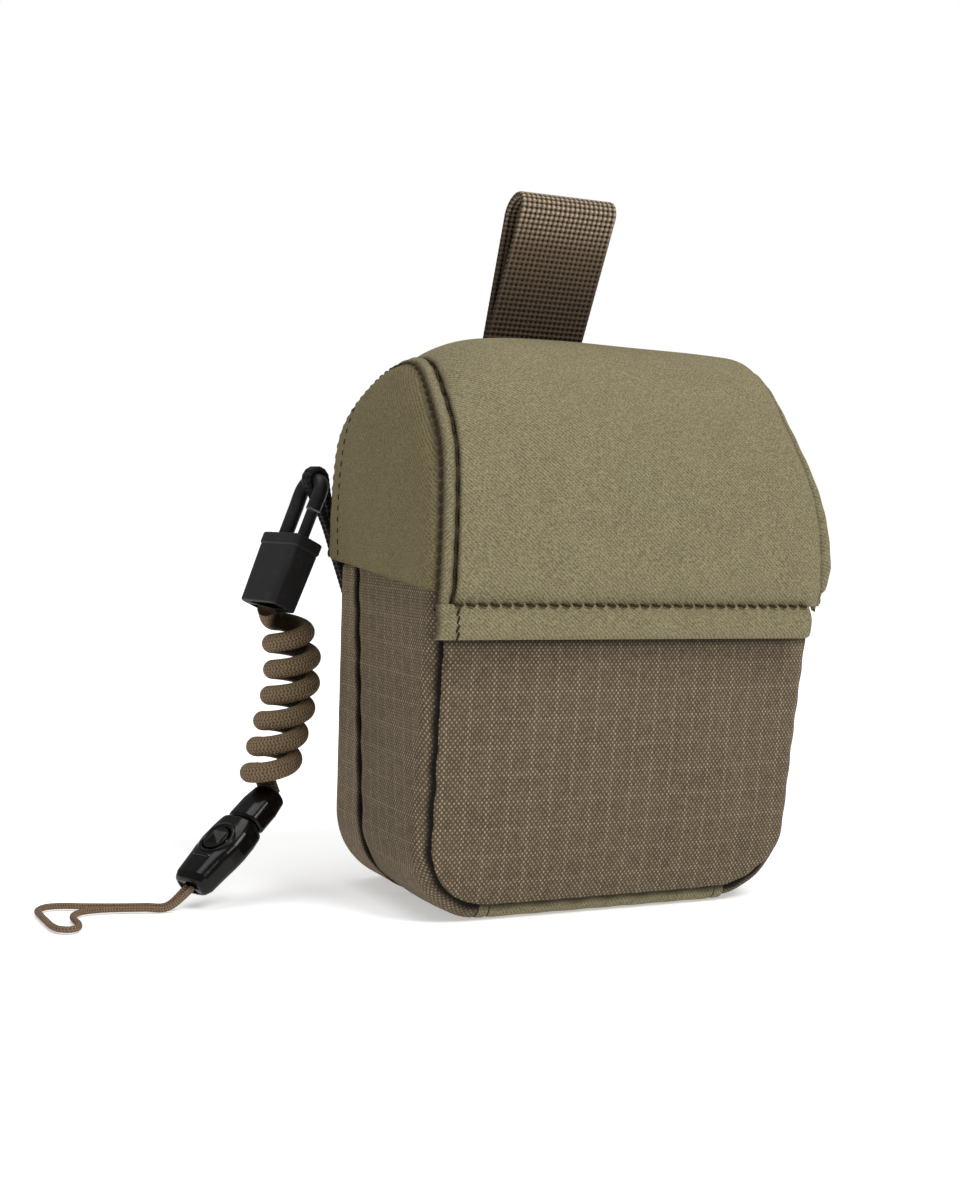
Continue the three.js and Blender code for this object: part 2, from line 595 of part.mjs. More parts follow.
const blockTopZ = -SHACKLE_DROP;
const blockEndZ = blockTopZ - HOOK_LENGTH;
function hookBody() {
  const halfX = HOOK_THICKNESS / 2;
  const halfY = HOOK_WIDTH / 2;
  const block = loft([
    roundedRing(blockTopZ, halfX, halfY, HOOK_CORNER),
    roundedRing(blockTopZ - HOOK_SHOULDER, halfX, halfY, HOOK_CORNER),
    roundedRing(blockEndZ, halfX - HOOK_THINNING, halfY - HOOK_NARROWING, HOOK_CORNER),
  ]);
  const span = SHACKLE_HALF_SPAN;
  const bend = SHACKLE_BEND;
  const crown = SHACKLE_CROWN;
  const shackle = rod([
    new THREE.Vector3(0, span, blockTopZ - SHACKLE_ROD),
    new THREE.Vector3(0, span, blockTopZ / 2),
    new THREE.Vector3(0, span, -bend),
    new THREE.Vector3(0, bend, -crown),
    new THREE.Vector3(0, 0, 0),
    new THREE.Vector3(0, -bend, -crown),
    new THREE.Vector3(0, -span, -bend),
    new THREE.Vector3(0, -span, -HOOK_NOSE),
  ], SHACKLE_ROD, 10, 22);
  const gateSlot = box(GATE_ROD + 2 * gap, GATE_ROD + 2 * GATE_SWING_ROOM, 2 * (GATE_ROD + gap),
    0, -SHACKLE_HALF_SPAN, blockTopZ);
  return cut(join(block, shackle), gateSlot);
}
piece('hook_body', hookBody(), blackPlastic, hook);

// Sprung gate that closes the shackle below its nose
const gateFootZ = blockTopZ - GATE_ROD + gap;
const gateTopZ = -HOOK_NOSE - gap;
piece('hook_gate', new THREE.CylinderGeometry(GATE_ROD / 2, GATE_ROD / 2, gateTopZ - gateFootZ, 12)
  .rotateX(Math.PI / 2).translate(0, -SHACKLE_HALF_SPAN, (gateTopZ + gateFootZ) / 2), blackPlastic, hook);

// Anchor loop: a narrow strap with an eye round the shackle bar, rising from a sewn foot
function anchorLoop() {
  const eyeRadius = SHACKLE_ROD / 2 + ANCHOR_EYE_CLEARANCE;
  const outerRadius = eyeRadius + ANCHOR_WALL;
  const eyeCentre = new THREE.Vector2(HOOK_PIVOT.x, HOOK_PIVOT.z);
  const foot = new THREE.Vector2(ANCHOR_FOOT_X, ANCHOR_FOOT_Z + ANCHOR_FOOT_HEIGHT / 4);
  const along = foot.clone().sub(eyeCentre);
  const reach = along.length();
  const strap = new THREE.Shape();
  strap.absarc(0, 0, outerRadius, rad(60), rad(300));
  strap.lineTo(outerRadius * 2.2, -ANCHOR_WALL);
  strap.lineTo(reach, -ANCHOR_WALL);
  strap.lineTo(reach, ANCHOR_WALL);
  strap.lineTo(outerRadius * 2.2, ANCHOR_WALL);
  const eye = new THREE.Path();
  eye.absarc(0, 0, eyeRadius, 0, 2 * Math.PI);
  strap.holes.push(eye);
  const flatStrap = new THREE.ExtrudeGeometry(
    strap, { depth: ANCHOR_WIDTH, bevelEnabled: false, curveSegments: 10 });
  flatStrap.translate(0, 0, -ANCHOR_WIDTH / 2).rotateZ(along.angle()).rotateX(Math.PI / 2);
  flatStrap.rotateZ(rad(HOOK_YAW)).translate(HOOK_PIVOT.x, HOOK_PIVOT.y, HOOK_PIVOT.z);
  const strapEnd = new THREE.Vector3(along.x, 0, along.y)
    .applyAxisAngle(new THREE.Vector3(0, 0, 1), rad(HOOK_YAW)).add(HOOK_PIVOT);
  const footY = BODY_BACK_Y + gap + ANCHOR_FOOT_THICKNESS / 2;
  const sewnFoot = box(ANCHOR_FOOT_WIDTH, ANCHOR_FOOT_THICKNESS, ANCHOR_FOOT_HEIGHT,
    ANCHOR_FOOT_X, footY, ANCHOR_FOOT_Z);
  const strapBackY = strapEnd.y + ANCHOR_WIDTH / 2;
  const riser = box(2 * ANCHOR_WALL, strapBackY - footY, ANCHOR_FOOT_HEIGHT / 4,
    strapEnd.x, (footY + strapBackY) / 2, strapEnd.z);
  return join(flatStrap, sewnFoot, riser);
}
piece('anchor_loop', anchorLoop(), blackWebbing);

// Buckle frame: Z along the buckle towards the plug, X level, Y up out of its face.
// Its origin is the plane where plug and socket meet.
const buckleAxis = BUCKLE_TOP.clone().sub(BUCKLE_END).normalize();
const buckleLevel = new THREE.Vector3(0, 0, 1).cross(buckleAxis).normalize();
const buckleFace = buckleAxis.clone().cross(buckleLevel);
const buckle = new THREE.Group();
buckle.quaternion.setFromRotationMatrix(
  new THREE.Matrix4().makeBasis(buckleLevel, buckleFace, buckleAxis));
buckle.position.copy(BUCKLE_TOP).addScaledVector(buckleAxis, -PLUG_LENGTH);
model.add(buckle);

const socketLength = BUCKLE_TOP.distanceTo(BUCKLE_END) - PLUG_LENGTH;
function plugGeometry() {
  const head = loft([
    roundedRing(gap / 2, PLUG_HALF_WIDTH, PLUG_HALF_DEPTH, PLUG_CORNER),
    roundedRing(PLUG_SHOULDER, PLUG_HALF_WIDTH, PLUG_HALF_DEPTH, PLUG_CORNER),
    roundedRing(PLUG_LENGTH, PLUG_END_HALF_WIDTH, PLUG_END_HALF_DEPTH, PLUG_CORNER),
  ]);
  const tongue = box(2 * TONGUE_HALF_WIDTH, 2 * TONGUE_HALF_DEPTH, TONGUE_LENGTH + TONGUE_ROOT,
    0, 0, (TONGUE_ROOT - TONGUE_LENGTH) / 2);
  return join(head, tongue);
}
const wellZ = -(SOCKET_COLLAR + BUTTON_RADIUS + 2 * gap);
const wellFloorY = SOCKET_HALF_DEPTH - BUTTON_WELL_DEPTH;
function socketGeometry() {
  const shell = loft([
    roundedRing(-gap / 2, SOCKET_HALF_WIDTH, SOCKET_HALF_DEPTH, SOCKET_CORNER),
    roundedRing(-SOCKET_COLLAR, SOCKET_HALF_WIDTH, SOCKET_HALF_DEPTH, SOCKET_CORNER),
    roundedRing(-SOCKET_COLLAR - SOCKET_STEP, SOCKET_WAIST_HALF_WIDTH, SOCKET_HALF_DEPTH, SOCKET_CORNER),
    roundedRing(-socketLength + SOCKET_NOSE, SOCKET_NOSE_HALF_WIDTH, SOCKET_NOSE_HALF_DEPTH, SOCKET_CORNER),
    roundedRing(-socketLength, SOCKET_END_HALF_WIDTH, SOCKET_END_HALF_DEPTH, SOCKET_CORNER),
  ]);
  const pocketDepth = TONGUE_LENGTH + 2 * gap;
  const pocket = box(2 * (TONGUE_HALF_WIDTH + gap), 2 * (TONGUE_HALF_DEPTH + gap), 2 * pocketDepth, 0, 0, 0);
  const well = discAlongY(BUTTON_RADIUS + gap, 2 * BUTTON_WELL_DEPTH, 0, SOCKET_HALF_DEPTH, wellZ);
  const bore = new THREE.CylinderGeometry(TETHER_BORE_RADIUS, TETHER_BORE_RADIUS, 2 * TETHER_BORE_DEPTH, 16)
    .rotateX(Math.PI / 2).translate(0, 0, -socketLength);
  return cut(shell, pocket, well, bore);
}
piece('buckle_plug', plugGeometry(), blackPlastic, buckle);
piece('buckle_socket', socketGeometry(), blackPlastic, buckle);
const button = new THREE.LatheGeometry([
  new THREE.Vector2(0, 0), new THREE.Vector2(BUTTON_RADIUS, 0),
  new THREE.Vector2(BUTTON_RADIUS, BUTTON_RIM), new THREE.Vector2(BUTTON_FACE_RADIUS, BUTTON_RIM),
  new THREE.Vector2(0, BUTTON_RIM + BUTTON_PEAK),
], 16);
piece('release_button', button, blackPlastic, buckle)
  .position.set(0, wellFloorY + BUTTON_TRAVEL + gap, wellZ);

// Coil cord: straight leads out of the hook and into the plug, and curls between them on a
// bent axis. The curl radius grows and fades over the first and last part of the axis.
const hookEnd = new THREE.Vector3(0, 0, blockEndZ - gap).applyMatrix4(hook.matrixWorld);
const hookDown = new THREE.Vector3(0, 0, -1).transformDirection(hook.matrixWorld);
const coilEnd = BUCKLE_TOP.clone().addScaledVector(buckleAxis, gap);
const coilAxis = new THREE.CatmullRomCurve3([
  hookEnd.clone().addScaledVector(hookDown, COIL_CORD / 2),
  ...COIL_AXIS_BENDS.map((bend) => new THREE.Vector3(...bend)),
  coilEnd.clone().addScaledVector(buckleAxis, COIL_CORD),
], false, 'centripetal');
function coilPath() {
  const steps = COIL_TURNS * CURL_STEPS;
  const level = new THREE.Vector3(0, 1, 0);
  const turns = range(steps).map((t) => {
    const along = coilAxis.getTangentAt(t);
    const first = level.clone().addScaledVector(along, -level.dot(along)).normalize();
    const second = along.clone().cross(first);
    const swell = THREE.MathUtils.smoothstep(Math.min(t, 1 - t), 0, COIL_FADE);
    const angle = 2 * Math.PI * COIL_TURNS * t + rad(COIL_START_ANGLE);
    return coilAxis.getPointAt(t)
      .addScaledVector(first, COIL_RADIUS * swell * Math.cos(angle))
      .addScaledVector(second, COIL_RADIUS * swell * Math.sin(angle));
  });
  return [hookEnd, ...turns, coilEnd];
}
function sweptCord(path, diameter, sides, startAlong, endAlong) {
  const curveTangent = (i) => path[Math.min(i + 1, path.length - 1)].clone()
    .sub(path[Math.max(i - 1, 0)]).normalize();
  let normal = null;
  const rings = path.map((point, i) => {
    let along = curveTangent(i);
    if (i === 0) along = startAlong.clone();
    if (i === path.length - 1) along = endAlong.clone();
    const seed = normal ?? new THREE.Vector3(0, 1, 0);
    normal = seed.clone().addScaledVector(along, -seed.dot(along)).normalize();
    const across = along.clone().cross(normal);
    return range(sides).slice(1).map((t) => point.clone()
      .addScaledVector(normal, diameter / 2 * Math.cos(2 * Math.PI * t))
      .addScaledVector(across, diameter / 2 * Math.sin(2 * Math.PI * t)));
  });
  return loft(rings);
}
const curls = coilPath();
piece('coil_cord', sweptCord(curls, COIL_CORD, CORD_SIDES, hookDown, buckleAxis.clone().negate()), brownCord);

// Least gap of the coil to itself, between points more than half a turn apart along it
let leastGap = Infinity;
for (let i = 0; i < curls.length; i += 1) {
  for (let j = i + CURL_STEPS / 2 + 1; j < curls.length; j += 1) {
    leastGap = Math.min(leastGap, curls[i].distanceTo(curls[j]) - COIL_CORD);
  }
}
console.log(`coil cord: least gap to itself ${leastGap.toFixed(2)} mm`);

// Thin cord loop out of the socket's bore, lying on the floor with its bight to the front
const boreMouth = BUCKLE_END.clone().addScaledVector(buckleAxis, TETHER_BORE_DEPTH - gap);
const strandOffset = buckleLevel.clone().multiplyScalar(TETHER_CORD / 2 + gap / 2);
const outward = boreMouth.clone().add(strandOffset);
const homeward = boreMouth.clone().sub(strandOffset);
const tetherLead = buckleAxis.clone().multiplyScalar(-TETHER_LEAD);
const tetherLieZ = TETHER_CORD / 2 + gap;
const tetherRoute = [
  outward, outward.clone().add(tetherLead),
  ...[
    [-92.5, 10.2], [-97, 11], [-103, 12.6], [-109.5, 14.8], [-114, 16.6], [-117.4, 16.6],
    [-119.6, 14], [-119.8, 9.5], [-119.6, 4.5], [-119.3, 0], [-118.4, -3], [-116.4, -4.2],
    [-114.5, -3], [-113.8, 0], [-113.9, 3.6], [-113.4, 7.2], [-111, 9.9], [-107, 10.6],
    [-102, 9.8], [-97.5, 8.6], [-93, 7.6],
  ].map(([x, y]) => new THREE.Vector3(x, y, tetherLieZ)),
  homeward.clone().add(tetherLead), homeward,
];
piece('tether_loop', rod(tetherRoute, TETHER_CORD, 8, 60), brownCord);

// The reference point is below the middle of the pouch's depth, on the floor
const beltFaceY = BODY_BACK_Y + gap + BELT_TUNNEL + BELT_WEBBING;
model.position.y = -(LID_FRONT_Y + beltFaceY) / 2;

export default model;
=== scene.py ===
import bpy
import numpy as np
from mathutils import Matrix


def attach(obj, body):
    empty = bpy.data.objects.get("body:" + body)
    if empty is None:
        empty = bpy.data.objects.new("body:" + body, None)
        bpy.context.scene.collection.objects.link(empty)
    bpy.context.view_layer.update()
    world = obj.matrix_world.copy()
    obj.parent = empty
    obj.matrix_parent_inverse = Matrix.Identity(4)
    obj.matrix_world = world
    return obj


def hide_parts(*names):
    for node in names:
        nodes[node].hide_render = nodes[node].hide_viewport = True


# A padded belt pouch for a hand-held rangefinder: brown woven body, olive lid that opens
# forward, webbing pull loop, and a coiled lanyard with a quick-release buckle on its left.
# Sizes are in millimetres in the part's own frame; meshes are put down in metres.
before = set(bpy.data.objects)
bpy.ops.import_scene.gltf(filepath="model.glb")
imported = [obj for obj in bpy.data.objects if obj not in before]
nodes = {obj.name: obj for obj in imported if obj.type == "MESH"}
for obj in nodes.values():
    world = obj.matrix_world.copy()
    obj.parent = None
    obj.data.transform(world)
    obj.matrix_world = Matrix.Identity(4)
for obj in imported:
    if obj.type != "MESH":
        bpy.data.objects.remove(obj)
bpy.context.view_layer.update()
MM = 0.001


# Camera, floor and light. A normal lens stands in front of the pouch and to its left, at
# mid height, looking slightly down and held a touch off level. The floor is pale paper, a
# big soft box lights the front from the right, and a weaker one fills the top.
LENS_PLACE = [-0.185957, -0.344653, 0.088238]
yaw, pitch, roll = np.radians([25.362, 2.874, 1.702])
forward = np.array([np.sin(yaw) * np.cos(pitch), np.cos(yaw) * np.cos(pitch), -np.sin(pitch)])
level = np.array([np.cos(yaw), -np.sin(yaw), 0.0])
upright = np.cross(level, forward)
lens_right = np.cos(roll) * level + np.sin(roll) * upright
lens_up = np.cos(roll) * upright - np.sin(roll) * level
lens = bpy.data.cameras.new("lens")
lens.lens = 49.59
lens.sensor_width = 36
lens.clip_start = 0.01
camera = bpy.data.objects.new("camera", lens)
camera_place = np.eye(4)
camera_place[:3] = np.column_stack([lens_right, lens_up, -forward, LENS_PLACE])
camera.matrix_world = Matrix(camera_place.tolist())
bpy.context.collection.objects.link(camera)
bpy.context.scene.camera = camera
bpy.context.scene.view_settings.view_transform = "Standard"


def soft_box(name, place, target, size, watts):
    """A square light at a place in metres, turned so that it faces the target."""
    lamp = bpy.data.lights.new(name, "AREA")
    lamp.shape = "SQUARE"
    lamp.size = size
    lamp.energy = watts
    holder = bpy.data.objects.new(name, lamp)
    back = np.subtract(place, target) / np.linalg.norm(np.subtract(place, target))
    across = np.cross([0, 0, 1], back) / np.linalg.norm(np.cross([0, 0, 1], back))
    stand = np.eye(4)
    stand[:3] = np.column_stack([across, np.cross(back, across), back, place])
    holder.matrix_world = Matrix(stand.tolist())
    bpy.context.collection.objects.link(holder)


LIT = (0, 0, 0.07)
soft_box("front_box", (0.5, -1.05, 1.55), LIT, size=0.8, watts=24)
soft_box("top_box", (-0.35, 0.25, 1.5), LIT, size=1.0, watts=10)


class Shade:
    """A socket of a material that varies over the surface; sums and products add Math nodes."""

    def __init__(self, tree, socket=None):
        self.tree = tree
        self.socket = socket

    def node(self, kind, settings=None, inputs=None, output=0):
        """Any node: its settings go in first, then the value or link of each socket."""
        made = self.tree.nodes.new(kind)
        for name, value in (settings or {}).items():
            setattr(made, name, value)
        for key, value in (inputs or {}).items():
            if isinstance(value, Shade):
                self.tree.links.new(value.socket, made.inputs[key])
            else:
                made.inputs[key].default_value = value
        return Shade(self.tree, made.outputs[output] if made.outputs else None)

    def maths(self, operation, *values):
        return self.node("ShaderNodeMath", {"operation": operation}, dict(enumerate(values)))

    def __add__(self, other):
        return self.maths("ADD", self, other)

    def __sub__(self, other):
        return self.maths("SUBTRACT", self, other)

    def __rsub__(self, other):
        return self.maths("SUBTRACT", other, self)

    def __mul__(self, other):
        return self.maths("MULTIPLY", self, other)

    def __mod__(self, other):
        return self.maths("FLOORED_MODULO", self, other)

    def __abs__(self):
        return self.maths("ABSOLUTE", self)

    __radd__ = __add__

    def wave(self, length):
        """A sine of the value that repeats over a length, from -1 to 1."""
        return self.maths("SINE", self * (2 * np.pi / length))

    def step(self, low, high):
        """0 below low, 1 above high, and a smooth rise between them."""
        return self.node("ShaderNodeMapRange", {"interpolation_type": "SMOOTHSTEP"},
                         {0: self, 1: low, 2: high})

    def between(self, dark, light):
        """A colour that goes from dark to light as the value goes from 0 to 1."""
        return self.node("ShaderNodeMix", {"data_type": "RGBA"}, {0: self, 6: dark, 7: light}, 2)


MATT = {"Specular IOR Level": 0.15}


class Finish:
    """A material under making, with the coordinates its pattern is drawn on."""

    def __init__(self, name):
        self.material = bpy.data.materials.new(name)
        self.material.use_nodes = True
        self.tree = self.material.node_tree
        self.tree.nodes.clear()
        self.shade = Shade(self.tree)

    def cloth_place(self):
        """Millimetres across and along the cloth, from the piece's own UV map."""
        spread = self.shade.node("ShaderNodeUVMap", {"uv_map": "cloth"})
        return [self.shade.node("ShaderNodeSeparateXYZ", None, {0: spread}, k) for k in range(2)]

    def measured(self, name):
        """A value that the mesh carries for each of its points."""
        return self.shade.node("ShaderNodeAttribute", {"attribute_name": name}, None, 2)

    def speckle(self, size, detail=2.0, roughness=0.5):
        """Noise from 0 to 1 whose patches have a size in millimetres, fixed in the part's frame."""
        place = self.shade.node("ShaderNodeTexCoord", output=3)
        return self.shade.node("ShaderNodeTexNoise", None, {
            "Vector": place, "Scale": 1 / (size * MM), "Detail": detail, "Roughness": roughness})

    def done(self, colour, roughness, height=None, depth=0.1, settled=None):
        """The shader: colour and roughness may vary; height in [-1, 1] stands depth mm proud."""
        inputs = {"Base Color": colour, "Roughness": roughness}
        if height is not None:
            inputs["Normal"] = self.shade.node("ShaderNodeBump", None, {
                "Strength": 1.0, "Distance": depth * MM, "Height": height})
        inputs.update(settled or {})
        surface = self.shade.node("ShaderNodeBsdfPrincipled", None, inputs)
        self.shade.node("ShaderNodeOutputMaterial", None, {0: surface})
        return self.material


def paper_floor():
    """A round of paper: rings of equal steps in the logarithm of the radius, all at height 0."""
    turn = np.linspace(0, 2 * np.pi, 97)[:-1]
    radius = np.geomspace(0.05, 30, 24)
    rings = np.stack([np.outer(radius, np.cos(turn)), np.outer(radius, np.sin(turn)),
                      np.zeros((24, 96))], -1)
    corners = np.arange(23 * 96).reshape(23, 96)
    nearer = np.roll(corners, -1, 1)
    faces = np.stack([corners, corners + 96, nearer + 96, nearer], -1).reshape(-1, 4)
    mesh = bpy.data.meshes.new("floor")
    mesh.from_pydata(rings.reshape(-1, 3), [], faces.tolist() + [list(range(96))])
    return bpy.data.objects.new("floor", mesh)


floor = paper_floor()
bpy.context.collection.objects.link(floor)
paper = Finish("pale_paper")
away = paper.shade.node("ShaderNodeVectorMath", {"operation": "LENGTH"},
                        {0: paper.shade.node("ShaderNodeTexCoord", output=3)}, 1)
floor.data.materials.append(paper.done(
    paper.speckle(60).between((0.86, 0.86, 0.855, 1), (0.9, 0.9, 0.895, 1)), 0.9,
    settled={"Emission Color": away.step(0.1, 2.2).between((0.42, 0.42, 0.42, 1), (0.85, 0.85, 0.85, 1)),
             "Emission Strength": 1.0}))

studio = bpy.data.worlds.new("studio")
studio.use_nodes = True
bpy.context.scene.world = studio
studio.node_tree.nodes.clear()
studio_shade = Shade(studio.node_tree)
seen = studio_shade.node("ShaderNodeLightPath")
sky = studio_shade.node("ShaderNodeBackground", None, {
    0: seen.between((0.3, 0.3, 0.3, 1), (1, 1, 1, 1))})
studio_shade.node("ShaderNodeOutputWorld", None, {0: sky})


# Coiled lanyard cord: round braid set into a curl, a little over six turns between the hook
# above and the buckle plug below. It hangs by its own weight and the curls stand a little apart.
def grid(*parts):
    """Rows and columns of points from their coordinates, each spread over the whole grid."""
    return np.stack(np.broadcast_arrays(*parts), -1)


def put_down(name, points, faces, spread, material):
    """A smooth mesh from points in millimetres, with the cloth coordinates of its corners."""
    mesh = bpy.data.meshes.new(name)
    mesh.from_pydata(points * MM, [], faces)
    mesh.uv_layers.new(name="cloth").data.foreach_set("uv", spread.ravel())
    mesh.polygons.foreach_set("use_smooth", np.ones(len(mesh.polygons), bool))
    mesh.materials.append(material)
    made = bpy.data.objects.new(name, mesh)
    bpy.context.collection.objects.link(made)
    return made


def fitted(made, body, slot, *replaced):
    """Lets a piece ride on a body and stand for the nodes it replaces; slot is not used."""
    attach(made, body)
    if replaced:
        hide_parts(*replaced)
    return made


def cloth_mesh(name, points, cloth, material, around=False, inside=None, caps=(True, True)):
    """Quads between neighbouring points of a grid in millimetres, its cloth coordinates in a
    UV map. A grid that goes around joins its last column to its first and may cap its ends.
    Faces are turned to point away from the inside point, or out of a capped tube."""
    rows, cols = points.shape[:2]
    steps = cols if around else cols - 1
    i, j = (k.ravel() for k in np.meshgrid(np.arange(rows - 1), np.arange(steps), indexing="ij"))
    down, over = np.stack([i, i + 1, i + 1, i], 1), np.stack([j, j, j + 1, j + 1], 1)
    quads = down * cols + over % cols
    flat = points.reshape(-1, 3)
    first, second = flat[quads[:, 2]] - flat[quads[:, 0]], flat[quads[:, 3]] - flat[quads[:, 1]]
    facing, middle = np.cross(first, second), flat[quads].mean(1)
    origin = middle.mean(0) if inside is None else np.asarray(inside)
    turned = np.sum(facing * (middle - origin)) < 0
    if turned:
        quads, down, over = quads[:, ::-1], down[:, ::-1], over[:, ::-1]
    spread = cloth[down, over].reshape(-1, 2)
    faces = quads.tolist()
    if around:
        ends = [np.arange(cols), (rows - 1) * cols + np.arange(cols)]
        ends = [ends[0], ends[1][::-1]] if turned else [ends[0][::-1], ends[1]]
        for end, row, closed in zip(ends, (0, -1), caps):
            if closed:
                faces.append(end.tolist())
                spread = np.vstack([spread, np.repeat(cloth[row, :1], cols, 0)])
    return put_down(name, flat, faces, spread, material)


def unit(vectors):
    return vectors / np.linalg.norm(vectors, axis=-1, keepdims=True)


def run_of(path):
    """Length along a path up to each of its points."""
    return np.concatenate([[0], np.cumsum(np.linalg.norm(np.diff(path, axis=0), axis=1))])


def walked(path, marks, values=None):
    """Points of a path, or values that go with it, at the marked lengths along it."""
    values = path if values is None else values
    return np.stack([np.interp(marks, run_of(path), values[:, k]) for k in range(3)], 1)


def evenly(path, step):
    """The same path with points a fixed step apart."""
    length = run_of(path)[-1]
    return walked(path, np.linspace(0, length, int(length / step) + 1))


def smooth_run(points, per_span=24):
    """A centripetal spline through the points: each span blends the lines through its four
    neighbours, with knots spaced by the square root of the distance between points."""
    ends = np.vstack([2 * points[0] - points[1], points, 2 * points[-1] - points[-2]])
    knots = np.concatenate([[0], np.cumsum(np.sqrt(np.linalg.norm(np.diff(ends, axis=0), axis=1)))])
    p = [ends[k:len(ends) - 3 + k, None] for k in range(4)]
    k = [knots[n:len(knots) - 3 + n, None, None] for n in range(4)]
    t = k[1] + (k[2] - k[1]) * np.linspace(0, 1, per_span, endpoint=False)[None, :, None]
    a = [(k[n + 1] - t) / (k[n + 1] - k[n]) * p[n] + (t - k[n]) / (k[n + 1] - k[n]) * p[n + 1]
         for n in range(3)]
    b = [(k[n + 2] - t) / (k[n + 2] - k[n]) * a[n] + (t - k[n]) / (k[n + 2] - k[n]) * a[n + 1]
         for n in range(2)]
    spans = (k[2] - t) / (k[2] - k[1]) * b[0] + (t - k[1]) / (k[2] - k[1]) * b[1]
    return np.vstack([spans.reshape(-1, 3), points[-1]])


def cord_grid(path, radius, sides, proud=None):
    """Rings round a path: each point plus radius times the cosine and sine of the turn, along
    two directions square to the path that are carried along it without twisting. proud(run,
    turn) is added to the radius. Also gives each point's place round and along the cord."""
    along = unit(np.gradient(path, axis=0))
    first = np.empty_like(path)
    carried = np.cross(along[0], [0.31, 0.17, 0.93])
    for k, direction in enumerate(along):
        carried = carried - direction * np.dot(carried, direction)
        carried = carried / np.linalg.norm(carried)
        first[k] = carried
    second = np.cross(along, first)
    turn = np.linspace(0, 2 * np.pi, sides + 1)
    run = run_of(path)
    reach = np.full((len(path), sides + 1), float(radius))
    if proud is not None:
        reach = reach + proud(run[:, None], turn[None])
    ring = (path[:, None] + (reach * np.cos(turn))[..., None] * first[:, None]
            + (reach * np.sin(turn))[..., None] * second[:, None])
    cloth = grid(turn[None] * radius, run[:, None])
    return ring[:, :-1], cloth


COIL_CORD = 4.65
COIL_CORE = COIL_CORD / 2 - 0.05
COIL_RADIUS = 4.6
COIL_TURNS = 6.35
COIL_BANDS, COIL_PITCH = 9, 0.62
CORD_STEP = 0.15
HOOK_REACH = 33.8
hook_pivot = np.array([-50, 37.8, 96])
hook_down = np.array([-0.38286, -0.11705, -0.91636])
coil_top = hook_pivot + hook_down * HOOK_REACH
coil_low = np.array([-65.783, 18.906, 22.678])
plug_out = np.array([0.722392, 0.352796, 0.594714])
coil_bends = np.array([
    [-59.8, 33.5, 62.3], [-57.4, 32.4, 57.4], [-57.7, 29.4, 51.2], [-59.3, 26.4, 44.8],
    [-61.9, 23.5, 38.6], [-64.6, 20.5, 32.2], [-67.1, 17.3, 25.8]])


def coil_path():
    """A helix of a fixed radius and number of turns about a spline walked at even length, its
    rings nearly level as they hang; both ends are led by a second spline into hook and plug."""
    axis = evenly(smooth_run(coil_bends, 200), 0.05)
    first, second = np.array([0.42, 0.9, 0.1]), np.array([0.906, -0.423, 0.0])
    angle = (2 * np.pi * COIL_TURNS * np.linspace(0, 1, len(axis)) - np.pi / 2)[:, None]
    curls = axis + COIL_RADIUS * (first * np.cos(angle) + second * np.sin(angle))
    return evenly(smooth_run(np.vstack([coil_top, curls[20:-20:10], coil_low])), CORD_STEP)


def braid(bands, pitch, proud):
    """Herringbone: a wave along the cord whose phase rises and falls round it, band by band."""
    def raised(run, turn):
        lean = np.abs((turn * bands / np.pi) % 2 - 1)
        return proud * np.sin(2 * np.pi * (run / pitch + 0.6 * lean))
    return raised


def braided_cord(name, bands, pitch, radius, dark, light):
    """The same herringbone, lighter on its strands, with dark lines between the bands and
    paler fibres here and there, and painted shade where the cord faces the inside of its own curl."""
    finish = Finish(name)
    across, along = finish.cloth_place()
    band = across * (bands / (np.pi * radius))
    lean = abs((band % 2) - 1)
    strand = (along + lean * (0.6 * pitch)).wave(pitch)
    line = abs((band % 1) - 0.5).step(0.34, 0.5)
    fibre = finish.speckle(0.4, detail=3.0)
    # Painted shade: the inner attribute darkens the cord where it faces the inside of its curl.
    inner = finish.measured("inner")
    tone = (strand * 0.28 + 0.3 + fibre * 0.55 - line * 0.22) * (1 - inner.step(0.0, 0.8))
    return finish.done(tone.between(dark, light), 0.75, strand * 0.8 + fibre - line, 0.1,
                       MATT)


coil_run = coil_path()
coil_points, coil_cloth = cord_grid(coil_run, COIL_CORE, 48, braid(COIL_BANDS, COIL_PITCH, 0.03))
brown_braid = braided_cord("brown_braid", COIL_BANDS, COIL_PITCH, COIL_CORE,
                           (0.03, 0.018, 0.009, 1), (0.32, 0.226, 0.135, 1))
coil = cloth_mesh("coiled_cord", coil_points, coil_cloth, brown_braid, around=True)
# Painted shade for the coil: how much each point faces the middle of its curl, stored as the inner attribute.
one_turn = np.ones(int(2 * np.pi * COIL_RADIUS / CORD_STEP))
counted = np.convolve(np.ones(len(coil_run)), one_turn, "same")
curl_middle = np.stack([np.convolve(k, one_turn, "same") / counted for k in coil_run.T], 1)
facing_in = np.sum(unit(coil_points - coil_run[:, None]) * unit(curl_middle - coil_run)[:, None], -1)
coil.data.attributes.new("inner", "FLOAT", "POINT").data.foreach_set(
    "value", np.clip(facing_in, 0, 1).ravel())
fitted(coil, "hook", "brown_cord", "coil_cord")


